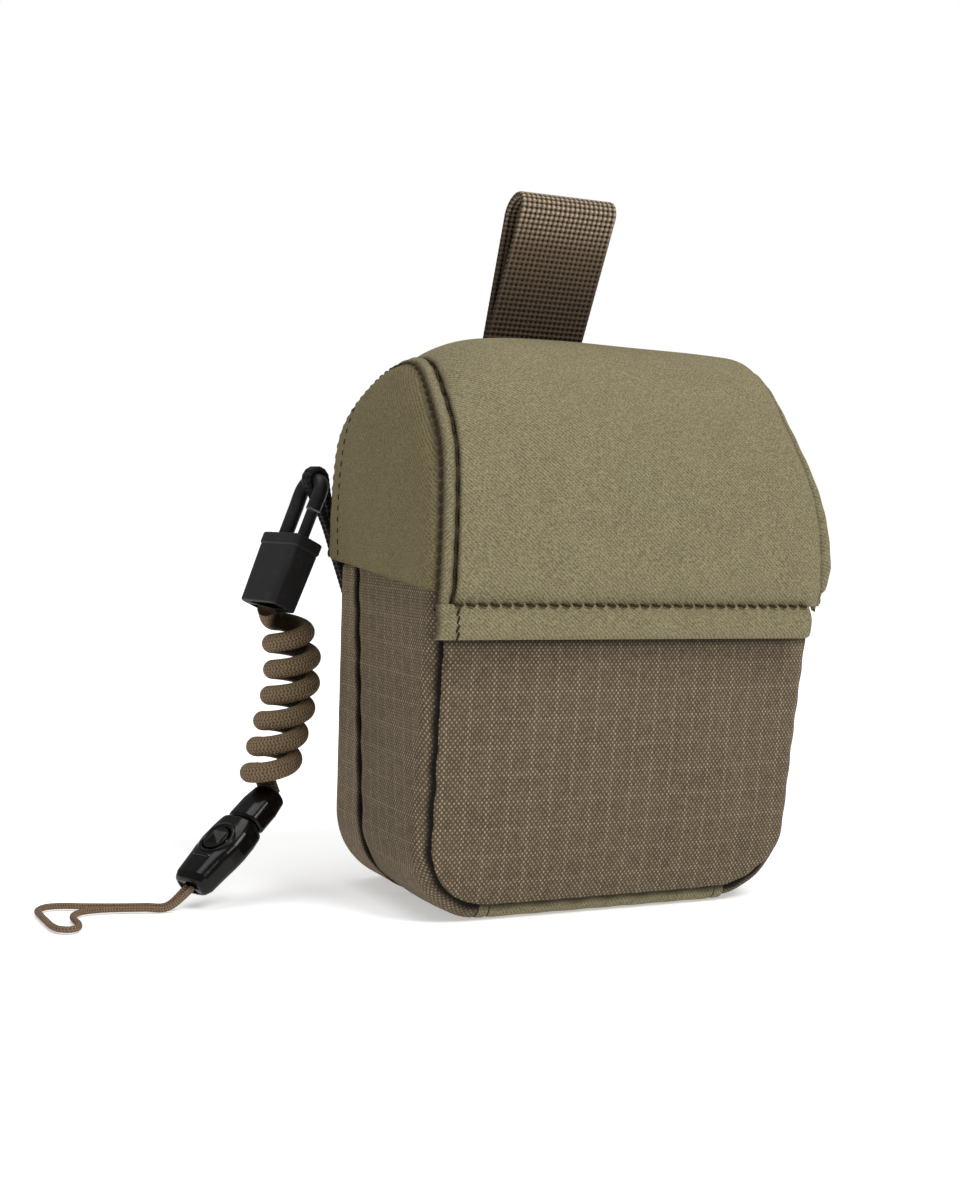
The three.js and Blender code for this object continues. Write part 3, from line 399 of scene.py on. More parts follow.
# Thin tether: one round cord knotted out of sight in the buckle socket, doubled back on
# itself so that its bight lies on the floor to the left.
TETHER_CORD = 1.5
TETHER_CORE = TETHER_CORD / 2 - 0.06
TETHER_BANDS, TETHER_PITCH = 4, 0.6
bore_mouth = np.array([-85.5495, 9.2525, 6.4057])
strand_side = np.array([-0.438835, 0.898568, 0.0]) * (TETHER_CORD / 2 + 0.15)
bore_out = -plug_out * 4
tether_floor = np.array([
    [-92.5, 8.5], [-97, 9.3], [-103, 10.9], [-109.5, 13.1], [-114, 14.9], [-117.4, 14.9],
    [-119.6, 12.3], [-119.8, 7.8], [-119.6, 2.8], [-119.3, -1.7], [-118.4, -4.7], [-116.4, -5.9],
    [-114.5, -4.7], [-113.8, -1.7], [-113.9, 1.9], [-113.4, 5.5], [-111, 8.2], [-107, 8.9],
    [-102, 8.1], [-97.5, 6.9], [-93, 5.9]])
tether_turns = np.column_stack([tether_floor, np.full(len(tether_floor), TETHER_CORD / 2 + 0.3)])
tether_run = evenly(smooth_run(np.vstack([
    bore_mouth + strand_side, bore_mouth + strand_side + bore_out, tether_turns,
    bore_mouth - strand_side + bore_out, bore_mouth - strand_side])), CORD_STEP)
tether_points, tether_cloth = cord_grid(tether_run, TETHER_CORE, 20,
                                        braid(TETHER_BANDS, TETHER_PITCH, 0.02))
tether_braid = braided_cord("brown_tether_braid", TETHER_BANDS, TETHER_PITCH, TETHER_CORE,
                            (0.05, 0.029, 0.016, 1), (0.32, 0.215, 0.135, 1))
tether = cloth_mesh("tether_cord", tether_points, tether_cloth, tether_braid, around=True)
fitted(tether, "socket", "brown_cord", "tether_loop")


# Front panel: foam-backed brown ripstop, sewn to the side strips down both sides and along
# the bottom, and puffed forward a little by its padding. Its top runs up behind the hem.
FABRIC = 1.2
SEAM_GAP = 0.3
SEAM_CURL = 3
BODY_HALF_WIDTH = 48
BODY_RIM_Z = 75
CORNER_RADIUS = 18
FLOOR_HALF = BODY_HALF_WIDTH - CORNER_RADIUS
FOLD_Z = 70
FRONT_SEAM_Y, FRONT_LEAN = -28.7, 0.076
POUCH_MIDDLE = (0, -2, 60)
RIGHT_SLACK, RIGHT_FILL, RIGHT_FILL_Z = 0.6, 3.0, 62
TWO_WARPS, TWO_WEFTS = 1.04, 1.3
SQUARE_WIDTH, SQUARE_HEIGHT, DOUBLED_YARN = 5, 6, 0.7
SEAM_SHADE = (0.005, 0.0035, 0.0022, 1)


def front_seam_y(z):
    """Depth of the front seam, which leans back a little towards the floor."""
    return FRONT_SEAM_Y + FRONT_LEAN * (FOLD_Z - z)


def body_half_width(z, inset):
    """Half the outline's width at a height: straight sides over two round lower corners."""
    drop = np.maximum(0, CORNER_RADIUS - z)
    round_part = np.sqrt(np.maximum(0, (CORNER_RADIUS - inset) ** 2 - drop ** 2))
    return FLOOR_HALF + round_part


def to_outline(x, z, inset):
    """Distance to the outline moved in by an inset: across to a side, or out to a round corner."""
    corner_reach = np.hypot(np.maximum(0, np.abs(x) - FLOOR_HALF), np.maximum(0, CORNER_RADIUS - z))
    return np.where(z < CORNER_RADIUS, CORNER_RADIUS - inset - corner_reach,
                    BODY_HALF_WIDTH - inset - np.abs(x))


def panel_heights(inset, top, rows):
    """Heights from the floor edge to the top, close together where the outline is round."""
    turn = np.linspace(0, np.pi / 2, rows // 2)
    return np.concatenate([CORNER_RADIUS - (CORNER_RADIUS - inset) * np.cos(turn),
                           np.linspace(CORNER_RADIUS, top, rows - rows // 2 + 1)[1:]])


def turned_in(distance, radius):
    """How far cloth dips at a distance from its sewn edge: a quarter circle of that radius."""
    near = np.clip(radius - distance, 0, radius)
    return radius - np.sqrt(radius ** 2 - near ** 2)


def pucker(run, distance, pitch, proud, reach):
    """Small gathers along a seam: a wave along it that dies away from the seam."""
    drift = 0.7 * np.sin(run / (2.3 * pitch)) + 0.4 * np.sin(run / (5.1 * pitch) + 1)
    return proud * np.sin(2 * np.pi * run / pitch + 2 * drift) * np.exp(-distance / reach)


def backed(cloth, thickness):
    """Gives a cloth surface its thickness on the inner side."""
    ply = cloth.modifiers.new("thickness", "SOLIDIFY")
    ply.thickness = thickness * MM
    ply.offset = -1
    return cloth


def line_mask(place, period, width):
    """1 on the lines that repeat over a period, 0 between them."""
    off = (place % period) - period / 2
    return 1 - abs(off).step(0.35 * width, 0.65 * width)


def ripstop(name, dark, light):
    """Plain weave of 0.6 mm yarns as a product of two waves, paler doubled yarns every 5 mm
    across and 6 mm along, an uneven dye, and painted shade where the cloth turns into a seam."""
    finish = Finish(name)
    across, along = finish.cloth_place()
    weave = across.wave(TWO_WARPS) * along.wave(TWO_WEFTS)
    crown = weave.step(0.0, 0.95)
    doubled = line_mask(across, SQUARE_WIDTH, DOUBLED_YARN)
    rung = line_mask(along, SQUARE_HEIGHT, DOUBLED_YARN)
    raised = doubled.maths("MAXIMUM", doubled, rung * 0.5)
    uneven = finish.speckle(1.1, detail=3.0, roughness=0.65).step(0.25, 0.75)
    cloudy = finish.speckle(9, detail=3.0)
    tone = (crown * (uneven * 0.35 + 0.46) + uneven * 0.12 + raised * (crown * 0.85 + 0.01)
            + cloudy * 0.1 - 0.02)
    # Painted shade: near its seams, and on the front panel just below the hem, the cloth goes to SEAM_SHADE.
    sewn = finish.measured("edge")
    colour = sewn.step(0.25, 1.9).between(SEAM_SHADE, tone.between(dark, light))
    return finish.done(colour, 0.82, crown * 1.1 + raised * 0.4 + uneven * 0.3, 0.18,
                       MATT)


brown_ripstop = ripstop("brown_ripstop", (0.07, 0.048, 0.031, 1), (0.4, 0.325, 0.21, 1))
FRONT_INSET = SEAM_CURL + SEAM_GAP
FRONT_BULGE = 2.6
HEM_DROP = 7.5


def front_bulge(share, z):
    """The panel stands forward of its seams by one minus the fourth power of the share of the
    half width, rising with the square root of the height over the bottom corner."""
    rise = np.clip((z - FRONT_INSET) / CORNER_RADIUS, 0, 1)
    return FRONT_BULGE * (1 - share ** 4) * np.sqrt(rise)


def right_full(z):
    """The padding fills the right side out towards the top and leaves it slack at the bottom."""
    return -RIGHT_SLACK + RIGHT_FILL * np.clip(z / RIGHT_FILL_Z, 0, 1)


def denser_at_ends(count):
    """Values from -1 to 1 that come closer together towards both ends."""
    even = np.linspace(-1, 1, count)
    return 0.45 * even + 0.55 * np.sin(np.pi / 2 * even)


def front_panel():
    """Rows up the panel between its two seams. On the right it is rolled round the corner, on the
    left it meets the side strip in front, and just below the hem it carries a painted shadow."""
    z = panel_heights(FRONT_INSET, FOLD_Z - SEAM_GAP, 170)[:, None]
    share = denser_at_ends(150)[None]
    wrap = np.clip(share, 0, 1) ** 6
    lift = np.clip((z - FRONT_INSET) / 9, 0, 1)
    inset = FRONT_INSET - (FRONT_INSET + right_full(z) - 0.3) * wrap * lift
    x = share * body_half_width(np.maximum(z, FRONT_INSET), inset)
    side = to_outline(x, z, inset)
    side = np.where(share > 0, np.maximum(side, 0), side)
    edge = np.minimum(side, z - FRONT_INSET)
    y = front_seam_y(z) - front_bulge(share, z) + turned_in(edge, 1.5 + 1.5 * wrap) - 0.4 * wrap
    y = y + pucker(x + z, edge, pitch=8, proud=0.16, reach=3.5)
    y = y + 0.12 * np.sin(x / 9 + z / 15) * np.sin(z / 11 - x / 23)
    points = grid(x, y, z)
    cloth = grid(x, z)
    # Painted shadow: the distance below the hem joins the edge value, so the cloth is darkened just under the
    # hem.
    painted_hem_shadow = 0.55 * np.maximum(FOLD_Z - HEM_DROP - 0.1 - z, 0) + 0.55
    return points, cloth, np.minimum(2.2 * edge, painted_hem_shadow)


def sewn_panel(name, shape, material, thickness, body, slot, *replaced, inside=POUCH_MIDDLE):
    """A panel from its points, cloth coordinates and distance to its seams, riding on a body."""
    points, cloth, edge = shape
    made = cloth_mesh(name, points, cloth, material, inside=inside)
    # The distance to the seams goes to the edge attribute, from which the cloth materials paint shade into
    # the seams.
    made.data.attributes.new("edge", "FLOAT", "POINT").data.foreach_set(
        "value", np.broadcast_to(edge, points.shape[:2]).ravel())
    return fitted(backed(made, thickness), body, slot, *replaced)


front = sewn_panel("front_cloth", front_panel(), brown_ripstop, FABRIC, "pouch", "brown_ripstop",
                   "front_panel")


# Side strips: one piece of ripstop down each side and round the lower corner, its front edge
# curled in to the front panel and its back edge sewn into a deep seam with the back band.
SIDE_RUN = BODY_RIM_Z - CORNER_RADIUS
CORNER_RUN = SIDE_RUN + CORNER_RADIUS * np.pi / 2
WHOLE_RUN = 2 * (CORNER_RUN + FLOOR_HALF)
RIM_ROLL = 1.7
BACK_SEAM_LOW_Y, BACK_SEAM_LEAN = 6.3, 8


def back_seam_y(z):
    """Depth of the back seam, which runs back towards the rim."""
    return BACK_SEAM_LOW_Y + BACK_SEAM_LEAN * z / BODY_RIM_Z


def outline(run):
    """The body's outline seen from the front, walked from the left rim down, across the floor
    and up to the right rim, with its inward direction. A run past a rim rolls over inwards."""
    left = run <= WHOLE_RUN / 2
    t = np.where(left, run, WHOLE_RUN - run)
    turn = np.clip((t - SIDE_RUN) / CORNER_RADIUS, 0, np.pi / 2)
    over = np.clip(-t / RIM_ROLL, 0, 0.8 * np.pi)
    x = -FLOOR_HALF - CORNER_RADIUS * np.cos(turn) + np.maximum(0, t - CORNER_RUN)
    x = x + RIM_ROLL * (1 - np.cos(over))
    z = (CORNER_RADIUS * (1 - np.sin(turn))
         + np.maximum(0, np.minimum(SIDE_RUN, SIDE_RUN - t)) * (t >= 0)
         + np.where(t < 0, SIDE_RUN + RIM_ROLL * np.sin(over), 0))
    sign = np.where(left, 1.0, -1.0)
    return sign * x, z, sign * np.cos(turn), np.sin(turn)


def strip_section(z, flat, roll):
    """From the back seam: flat to the front curl, then a quarter turn in to the front panel.
    Gives the inset, the depth, the distances to both sewn edges and the length across."""
    front_y = front_seam_y(z) + SEAM_CURL
    back_y = back_seam_y(z)
    level = np.linspace(0, 1, flat)[None]
    angle = np.linspace(0, np.pi / 2, roll)[None, 1:]
    y = np.hstack([back_y + (front_y - back_y) * level, front_y - SEAM_CURL * np.sin(angle)])
    inset = np.hstack([np.zeros((len(z), flat)), np.repeat(SEAM_CURL * (1 - np.cos(angle)), len(z), 0)])
    from_back = back_y - y
    from_front = np.hstack([(y[:, :flat] - front_y) + SEAM_CURL * np.pi / 2,
                            np.repeat(SEAM_CURL * (np.pi / 2 - angle), len(z), 0)])
    arc = np.hstack([(back_y - front_y) * level, back_y - front_y + SEAM_CURL * angle])
    return inset, y, from_back, from_front, arc


def side_strip(start, end, rows, filled=0.0):
    """The section carried along a run of the outline, inset by its turned-in edges and ends less a
    half sine of fullness across; filled takes the right side's padding into account."""
    run = np.linspace(start, end, rows)[:, None]
    ox, oz, nx, nz = outline(run)
    inset, y, from_back, from_front, arc = strip_section(oz, 60, 16)
    full = filled * right_full(oz)
    edge = np.minimum(from_back, from_front)
    ends = np.minimum(run - start, end - run)
    swell = -0.5 * np.sin(np.pi * np.clip(from_back / (from_back + from_front), 0, 1))
    inset = inset + turned_in(from_back, 1.4) + 0.5 * turned_in(from_front, 1.2) + swell
    inset = inset + turned_in(ends + 0.3, 0.9) + pucker(run, edge, pitch=9, proud=0.18, reach=3) + 0.5 - full
    points = grid(ox + nx * inset, y, oz + nz * inset)
    cloth = grid(arc, run)
    # The last value sets the painted seam shade, shifted by the right side's fullness and darker near the
    # strip's ends.
    return points, cloth, np.minimum(edge + full, ends + 1.2)


GUSSET_END = SIDE_RUN + CORNER_RADIUS * np.arccos(2.2 / CORNER_RADIUS)
RIM_OVER = 1.35 * np.pi * RIM_ROLL / 2
sewn_panel("left_side_cloth", side_strip(-RIM_OVER, GUSSET_END, 190), brown_ripstop, FABRIC,
           "pouch", "brown_ripstop", "left_gusset")
sewn_panel("right_side_cloth", side_strip(WHOLE_RUN - GUSSET_END, WHOLE_RUN + RIM_OVER, 190, 1.0),
           brown_ripstop, FABRIC, "pouch", "brown_ripstop", "right_gusset")


# Bottom: a panel of olive softshell between the side strips, with a narrow tape of the same
# cloth sewn over each joint.
def softshell(name, dark, light):
    """Fine diagonal twill: ribs every 0.65 mm on the bias, broken into short floats, with a
    faint cloudiness, and painted shade where the cloth turns into a seam."""
    finish = Finish(name)
    across, along = finish.cloth_place()
    rib = (across + along * 1.15).wave(1.0)
    floats = (across - along * 0.62).wave(0.87)
    twill = rib * (floats * 0.35 + 0.65)
    cloudy = finish.speckle(7, detail=3.0)
    grain = finish.speckle(0.42, detail=2.0, roughness=0.6).step(0.3, 0.7)
    tone = twill * 0.28 + cloudy * 0.2 + grain * 0.66 + 0.05
    # Painted shade: near its seams and turned edges the cloth goes dark olive.
    sewn = finish.measured("edge")
    colour = sewn.step(0.0, 1.6).between((0.045, 0.037, 0.02, 1), tone.between(dark, light))
    return finish.done(colour, 0.78, twill * 0.7 + grain * 0.8, 0.09,
                       MATT)


olive_softshell = softshell("olive_softshell", (0.122, 0.1, 0.051, 1), (0.305, 0.27, 0.162, 1))
BOTTOM_START = CORNER_RUN + 1
TAPE_START, TAPE_END = GUSSET_END + SEAM_GAP, BOTTOM_START - SEAM_GAP
sewn_panel("bottom_cloth", side_strip(BOTTOM_START, WHOLE_RUN - BOTTOM_START, 120), olive_softshell,
           FABRIC, "pouch", "olive_softshell", "bottom_panel")
sewn_panel("left_tape_cloth", side_strip(TAPE_START, TAPE_END, 24), olive_softshell, FABRIC,
           "pouch", "olive_softshell", "bottom_left_tape")
sewn_panel("right_tape_cloth", side_strip(WHOLE_RUN - TAPE_END, WHOLE_RUN - TAPE_START, 24),
           olive_softshell, FABRIC, "pouch", "olive_softshell", "bottom_right_tape")


# Back: a band of ripstop that runs round the pouch behind the deep seam and curls in to a
# flat back panel, which carries the thickest padding.
BACK_Y = 27.3
BACK_CURL = 5


def back_band():
    """Flat from the deep seam, then a quarter turn in to the back panel, all round the outline."""
    run = np.linspace(-RIM_OVER, WHOLE_RUN + RIM_OVER, 420)[:, None]
    ox, oz, nx, nz = outline(run)
    seam = back_seam_y(oz) + SEAM_GAP
    angle = np.linspace(0, np.pi / 2, 20)[None, 1:]
    y = np.hstack([seam + (BACK_Y - BACK_CURL - seam) * np.linspace(0, 1, 30)[None],
                   np.repeat(BACK_Y - BACK_CURL + BACK_CURL * np.sin(angle), len(run), 0)])
    inset = np.hstack([np.zeros((len(run), 30)), np.repeat(BACK_CURL * (1 - np.cos(angle)), len(run), 0)])
    from_seam = y - seam
    from_back = np.hstack([BACK_Y - BACK_CURL - y[:, :30] + BACK_CURL * np.pi / 2,
                           np.repeat(BACK_CURL * (np.pi / 2 - angle), len(run), 0)])
    edge = np.minimum(from_seam, from_back)
    inset = inset + turned_in(from_seam, 1.4) + pucker(run, edge, pitch=10, proud=0.16, reach=3) + 0.15
    y = y - 0.5 * turned_in(from_back, 1.2)
    points = grid(ox + nx * inset, y, oz + nz * inset)
    return points, grid(y, run), edge


def back_panel():
    """A flat plate with the body's outline, its sewn border dipping and its middle a little full."""
    inset = BACK_CURL + SEAM_GAP
    z = panel_heights(inset, BODY_RIM_Z, 140)[:, None]
    share = denser_at_ends(120)[None]
    x = share * body_half_width(z, inset)
    edge = np.minimum(to_outline(x, z, inset), z - inset)
    y = BACK_Y - turned_in(edge, 1.2) - 0.12 + pucker(x + z, edge, pitch=9, proud=0.12, reach=3)
    return grid(x, y, z), grid(x, z), edge


# Painted light: the band uses a lighter copy of the brown ripstop, as if more light fell on it.
painted_light_band_ripstop = ripstop("brown_ripstop_painted_lighter", (0.1, 0.07, 0.045, 1), (0.54, 0.43, 0.28, 1))
sewn_panel("back_band_cloth", back_band(), painted_light_band_ripstop, FABRIC, "pouch", "brown_ripstop", "back_band")
back = sewn_panel("back_cloth", back_panel(), brown_ripstop, FABRIC, "pouch", "brown_ripstop",
                  "back_panel")


# Lid panel: one wide strip of padded olive softshell from the fold line at the front, up over
# the crest and down the back. The fold pinches its lower front edge in.
SOFTSHELL = 1.5
LID_LOW_Z = FOLD_Z - 0.15
LID_BACK_EDGE_Z = 78.5
LID_CREST_Y = -1.7
LID_TOP_Z = 129
LID_FRONT_REACH, LID_FRONT_SPRING_Z = 33.5, 79
LID_BACK_REACH, LID_BACK_SPRING_Z = 35, 104
LID_FLAT_HALF, LID_TAPER = 44.5, 5
LID_EDGE_RADIUS = 6.2
EDGE_TURNS = {-1: np.radians([6, 37]), 1: np.radians([40, 66])}
LID_MIDDLE = (0, -2, 85)
RIGHT_SUNK, RIGHT_SUNK_Z, RIGHT_SUNK_REACH = 3.0, 114, 16
SHOULDER_DROP, SHOULDER_Z, SHOULDER_RISE = 5.5, 100, 25
FOLD_PINCH, FOLD_PINCH_REACH = 1.3, 2.6
FOLD_PITCH = 2.8


def lid_half_width(z, side):
    """Narrower with the square of the height, and sunk in a little below the right shoulder."""
    sunk = np.where(side > 0, RIGHT_SUNK, 0) * np.exp(-((z - RIGHT_SUNK_Z) / RIGHT_SUNK_REACH) ** 2)
    rise = np.maximum(0, z - FOLD_Z) / (LID_TOP_Z - FOLD_Z)
    return LID_FLAT_HALF - LID_TAPER * rise ** 2 - sunk


def eased(share):
    """A share from 0 to 1 that starts and ends softly."""
    return share ** 2 * (3 - 2 * share)


def shoulder(across, z):
    """How far the crest drops towards the left edge strip: with a power of the place across,
    and only near the top of the arch."""
    high = np.clip((z - SHOULDER_Z) / SHOULDER_RISE, 0, 1)
    return SHOULDER_DROP * np.clip(-across, 0, 1) ** 6 * eased(high)


def lid_profile(count, low_front, low_back):
    """The lid seen from the side, walked at even length: front wall, a quarter ellipse up to
    the crest, a quarter ellipse down, back wall. With it goes the direction into the lid."""
    turn = np.linspace(0, np.pi / 2, 200)
    wall_z = np.linspace(low_front, LID_FRONT_SPRING_Z, 60)[:-1]
    rear_z = np.linspace(LID_BACK_SPRING_Z, low_back, 60)[1:]
    front, down = turn[::-1], turn[1:]
    y = np.concatenate([np.full(59, LID_CREST_Y - LID_FRONT_REACH),
                        LID_CREST_Y - LID_FRONT_REACH * np.sin(front),
                        LID_CREST_Y + LID_BACK_REACH * np.sin(down),
                        np.full(59, LID_CREST_Y + LID_BACK_REACH)])
    z = np.concatenate([wall_z,
                        LID_FRONT_SPRING_Z + (LID_TOP_Z - LID_FRONT_SPRING_Z) * np.cos(front),
                        LID_BACK_SPRING_Z + (LID_TOP_Z - LID_BACK_SPRING_Z) * np.cos(down), rear_z])
    into_y = np.concatenate([np.ones(59), np.sin(front), -np.sin(down), -np.ones(59)])
    into_z = np.concatenate([np.zeros(59), -np.cos(front), -np.cos(down), np.zeros(59)])
    run = run_of(np.stack([y, z], 1))
    marks = np.linspace(0, run[-1], count)
    return [np.interp(marks, run, k)[:, None] for k in (y, z, into_y, into_z)] + [marks[:, None]]


def lid_strip(profile, across, sign, angle, level):
    """Points of the lid: a share of the flat half width, then round the soft edge by an angle,
    at a level below the outer face."""
    y, z, into_y, into_z, _ = profile
    depth = level + shoulder(across, z) + LID_EDGE_RADIUS * (1 - np.cos(angle))
    x = across * lid_half_width(z, across) + sign * LID_EDGE_RADIUS * np.sin(angle)
    return grid(x, y + into_y * depth, z + into_z * depth)


shell_profile = lid_profile(300, LID_LOW_Z, LID_BACK_EDGE_Z)
shell_run = shell_profile[4]


def fold_pinch(run):
    """Depth of the pinch at the fold: a bell that fades out within some millimetres."""
    return FOLD_PINCH * np.exp(-(run / FOLD_PINCH_REACH) ** 2)


def lid_panel():
    """Across: flat, then on the right round the soft edge as far as that side's edge strip."""
    rolled = np.linspace(0, EDGE_TURNS[1][0] - np.radians(1), 20)[1:]
    share = np.append(denser_at_ends(120), np.ones(19))[None]
    angle = np.append(np.zeros(120), rolled)[None]
    half = lid_half_width(shell_profile[1], share)
    sides = np.minimum((1 + share) * half,
                       (1 - share) * half + LID_EDGE_RADIUS * (rolled[-1] - angle) + 0.7)
    edge = np.minimum(sides + 0.55, shell_run[-1] - shell_run + 0.6)
    crown = 0.7 * (1 - share ** 2) - 0.25
    lumps = 0.16 * np.sin(share * 4.1 + shell_run / 13) * np.sin(shell_run / 9.5 - share * 2.2)
    level = (turned_in(edge, 1.5) + fold_pinch(shell_run) - crown * np.clip(shell_run / 12, 0, 1)
             + lumps + pucker(shell_run, edge, pitch=7.5, proud=0.13, reach=2.5)
             + pucker(share * half, shell_run, pitch=FOLD_PITCH, proud=0.16, reach=2.2))
    points = lid_strip(shell_profile, share, 1, angle, level)
    over = share * half + LID_EDGE_RADIUS * angle
    # The last value sets the painted seam shade: less of it near the fold and on the rolled edge.
    return points, grid(over, shell_run), (
        edge + 0.8 * fold_pinch(shell_run) + 1.2 * (angle > 0))


lid_cloth = sewn_panel("lid_cloth", lid_panel(), olive_softshell, SOFTSHELL, "lid", "olive_softshell",
                       "lid_panel", inside=LID_MIDDLE)


# Edge strips of the lid: folded softshell round each side of the lid panel, sewn down along
# both of its edges so that it stands up in between. The right one is puffed out near the fold.
SIDES = ((-1, "left"), (1, "right"))
INNER_ALLOWANCE, OUTER_ALLOWANCE = np.radians([8, 4])
STRIP_PUFF, STRIP_PUFF_REACH = 2.4, 40


def binding(sign):
    """Round the soft edge between its two seams, full in between, with a sunk seam allowance on
    both sides that lies under the panel and under the wing."""
    start, end = EDGE_TURNS[sign]
    angle = np.linspace(start - INNER_ALLOWANCE, end + OUTER_ALLOWANCE, 52)[None] + 0 * shell_run
    angle = np.minimum(angle, end + OUTER_ALLOWANCE * np.clip((shell_run - 3) / 3, 0, 1))
    place = np.clip((angle - start) / (end - start), 0, 1)
    to_seam = np.minimum(angle - start, end - angle) * LID_EDGE_RADIUS + 0.15
    edge = np.minimum(to_seam, shell_run + 0.8)
    level = (np.minimum(turned_in(edge, 1.3), 0.8) - 0.35 * np.sin(np.pi * place)
             + fold_pinch(shell_run) * 0.8 + pucker(shell_run, edge, pitch=6.3, proud=0.16, reach=2.0) + 0.15)
    points = lid_strip(shell_profile, sign, sign, angle, level)
    puffed = np.exp(-(shell_run / STRIP_PUFF_REACH) ** 2) * np.sqrt(np.clip((shell_run - 3) / 6, 0, 1))
    points[..., 0] += STRIP_PUFF * (sign > 0) * puffed * np.sin(np.pi * place)
    # The last value sets the painted seam shade, lighter on the right strip.
    return points, grid(angle * LID_EDGE_RADIUS, shell_run), edge + 0.7 * (sign > 0)


for sign, side in SIDES:
    sewn_panel(f"lid_{side}_edge_cloth", binding(sign), olive_softshell, SOFTSHELL, "lid",
               "olive_softshell", f"lid_{side}_binding", inside=LID_MIDDLE)


# Lid wings: flat softshell sides that fill the arch, in a darker copy of the softshell as painted
# shade, sewn to the edge strips; the free lower edge is turned in and rises to the back.
WING_FRONT_EDGE_Z, WING_BACK_EDGE_Z = 72.6, 78
WING_BULGE = 2
WING_TUCK = 0.6


def wing(sign):
    """Columns from the lower edge up to the arch, tucked under the edge strip. A point's depth
    below the lid's outline sets how far round the soft edge it is, by a quarter circle, and its
    width is that of the outline straight out from it. The middle is a little full."""
    wing_drop = LID_EDGE_RADIUS * (1 - np.cos(EDGE_TURNS[sign][1])) + 0.1
    turn = np.linspace(-np.pi / 2, np.pi / 2, 150)[:, None]
    reach = np.where(turn < 0, LID_FRONT_REACH, LID_BACK_REACH)
    spring = np.where(turn < 0, LID_FRONT_SPRING_Z, LID_BACK_SPRING_Z)
    height = LID_TOP_Z - spring
    lower = shoulder(sign, spring + height * np.cos(turn))
    off_crest = (reach - wing_drop - lower + WING_TUCK) * np.sin(turn)
    top = spring + (height - wing_drop - lower + WING_TUCK) * np.cos(turn)
    y = LID_CREST_Y + off_crest
    low = WING_FRONT_EDGE_Z + (WING_BACK_EDGE_Z - WING_FRONT_EDGE_Z) * (
        off_crest + LID_FRONT_REACH) / (LID_FRONT_REACH + LID_BACK_REACH)
    rise = 0.5 + 0.5 * denser_at_ends(110)[None]
    z = low + (top - low) * rise
    over = np.maximum(0, z - spring)
    ratio = np.hypot(off_crest / reach, over / height)
    steep = np.maximum(np.hypot(off_crest / reach ** 2, over / height ** 2), 1e-6)
    below = (1 - ratio) * ratio / steep
    depth = np.clip(below - lower, 0, LID_EDGE_RADIUS)
    near_arch = np.clip((18 - below) / 10, 0, 1)
    outline_z = z + eased(near_arch) * below * over / (height ** 2 * steep)
    round_edge = np.sqrt(LID_EDGE_RADIUS ** 2 - (LID_EDGE_RADIUS - depth) ** 2)
    to_arch = np.maximum(depth - wing_drop, 0) * 1.4
    edge = np.minimum(to_arch, z - low + 0.7)
    across = (off_crest - off_crest[0]) / (off_crest[-1] - off_crest[0])
    swell = WING_BULGE * np.sin(np.pi * across) * np.sin(np.pi * rise)
    x = lid_half_width(outline_z, sign) + round_edge + swell - turned_in(edge, 1.3) - 0.1
    x = x + pucker(y + z, to_arch, pitch=7, proud=0.14, reach=2.5)
    x = x + 0.12 * np.sin(y / 7 + z / 17) * np.sin(z / 8 - y / 21)
    points = grid(sign * x, y, z)
    return points, grid(sign * y, z), edge


# Painted shade: the wings use a darker copy of the olive softshell.
painted_shade_olive = softshell("olive_softshell_painted_darker", (0.093, 0.073, 0.033, 1), (0.225, 0.188, 0.096, 1))
for sign, side in SIDES:
    sewn_panel(f"lid_{side}_wing_cloth", wing(sign), painted_shade_olive, SOFTSHELL, "lid",
               "olive_softshell", f"lid_{side}_wing", inside=LID_MIDDLE)


# Hem: the folded lower edge of the lid's front, below the fold line. It is sewn to the front
# panel, stands proud of it like a flat roll, and throws a shadow on it.
HEM_LOW_Z, HEM_TOP_Z = FOLD_Z - HEM_DROP, FOLD_Z + 0.15
HEM_FRONT_Y = LID_CREST_Y - LID_FRONT_REACH
HEM_TURNS = np.radians([36, 24])
HEM_RIGHT_SHARE = 0.97


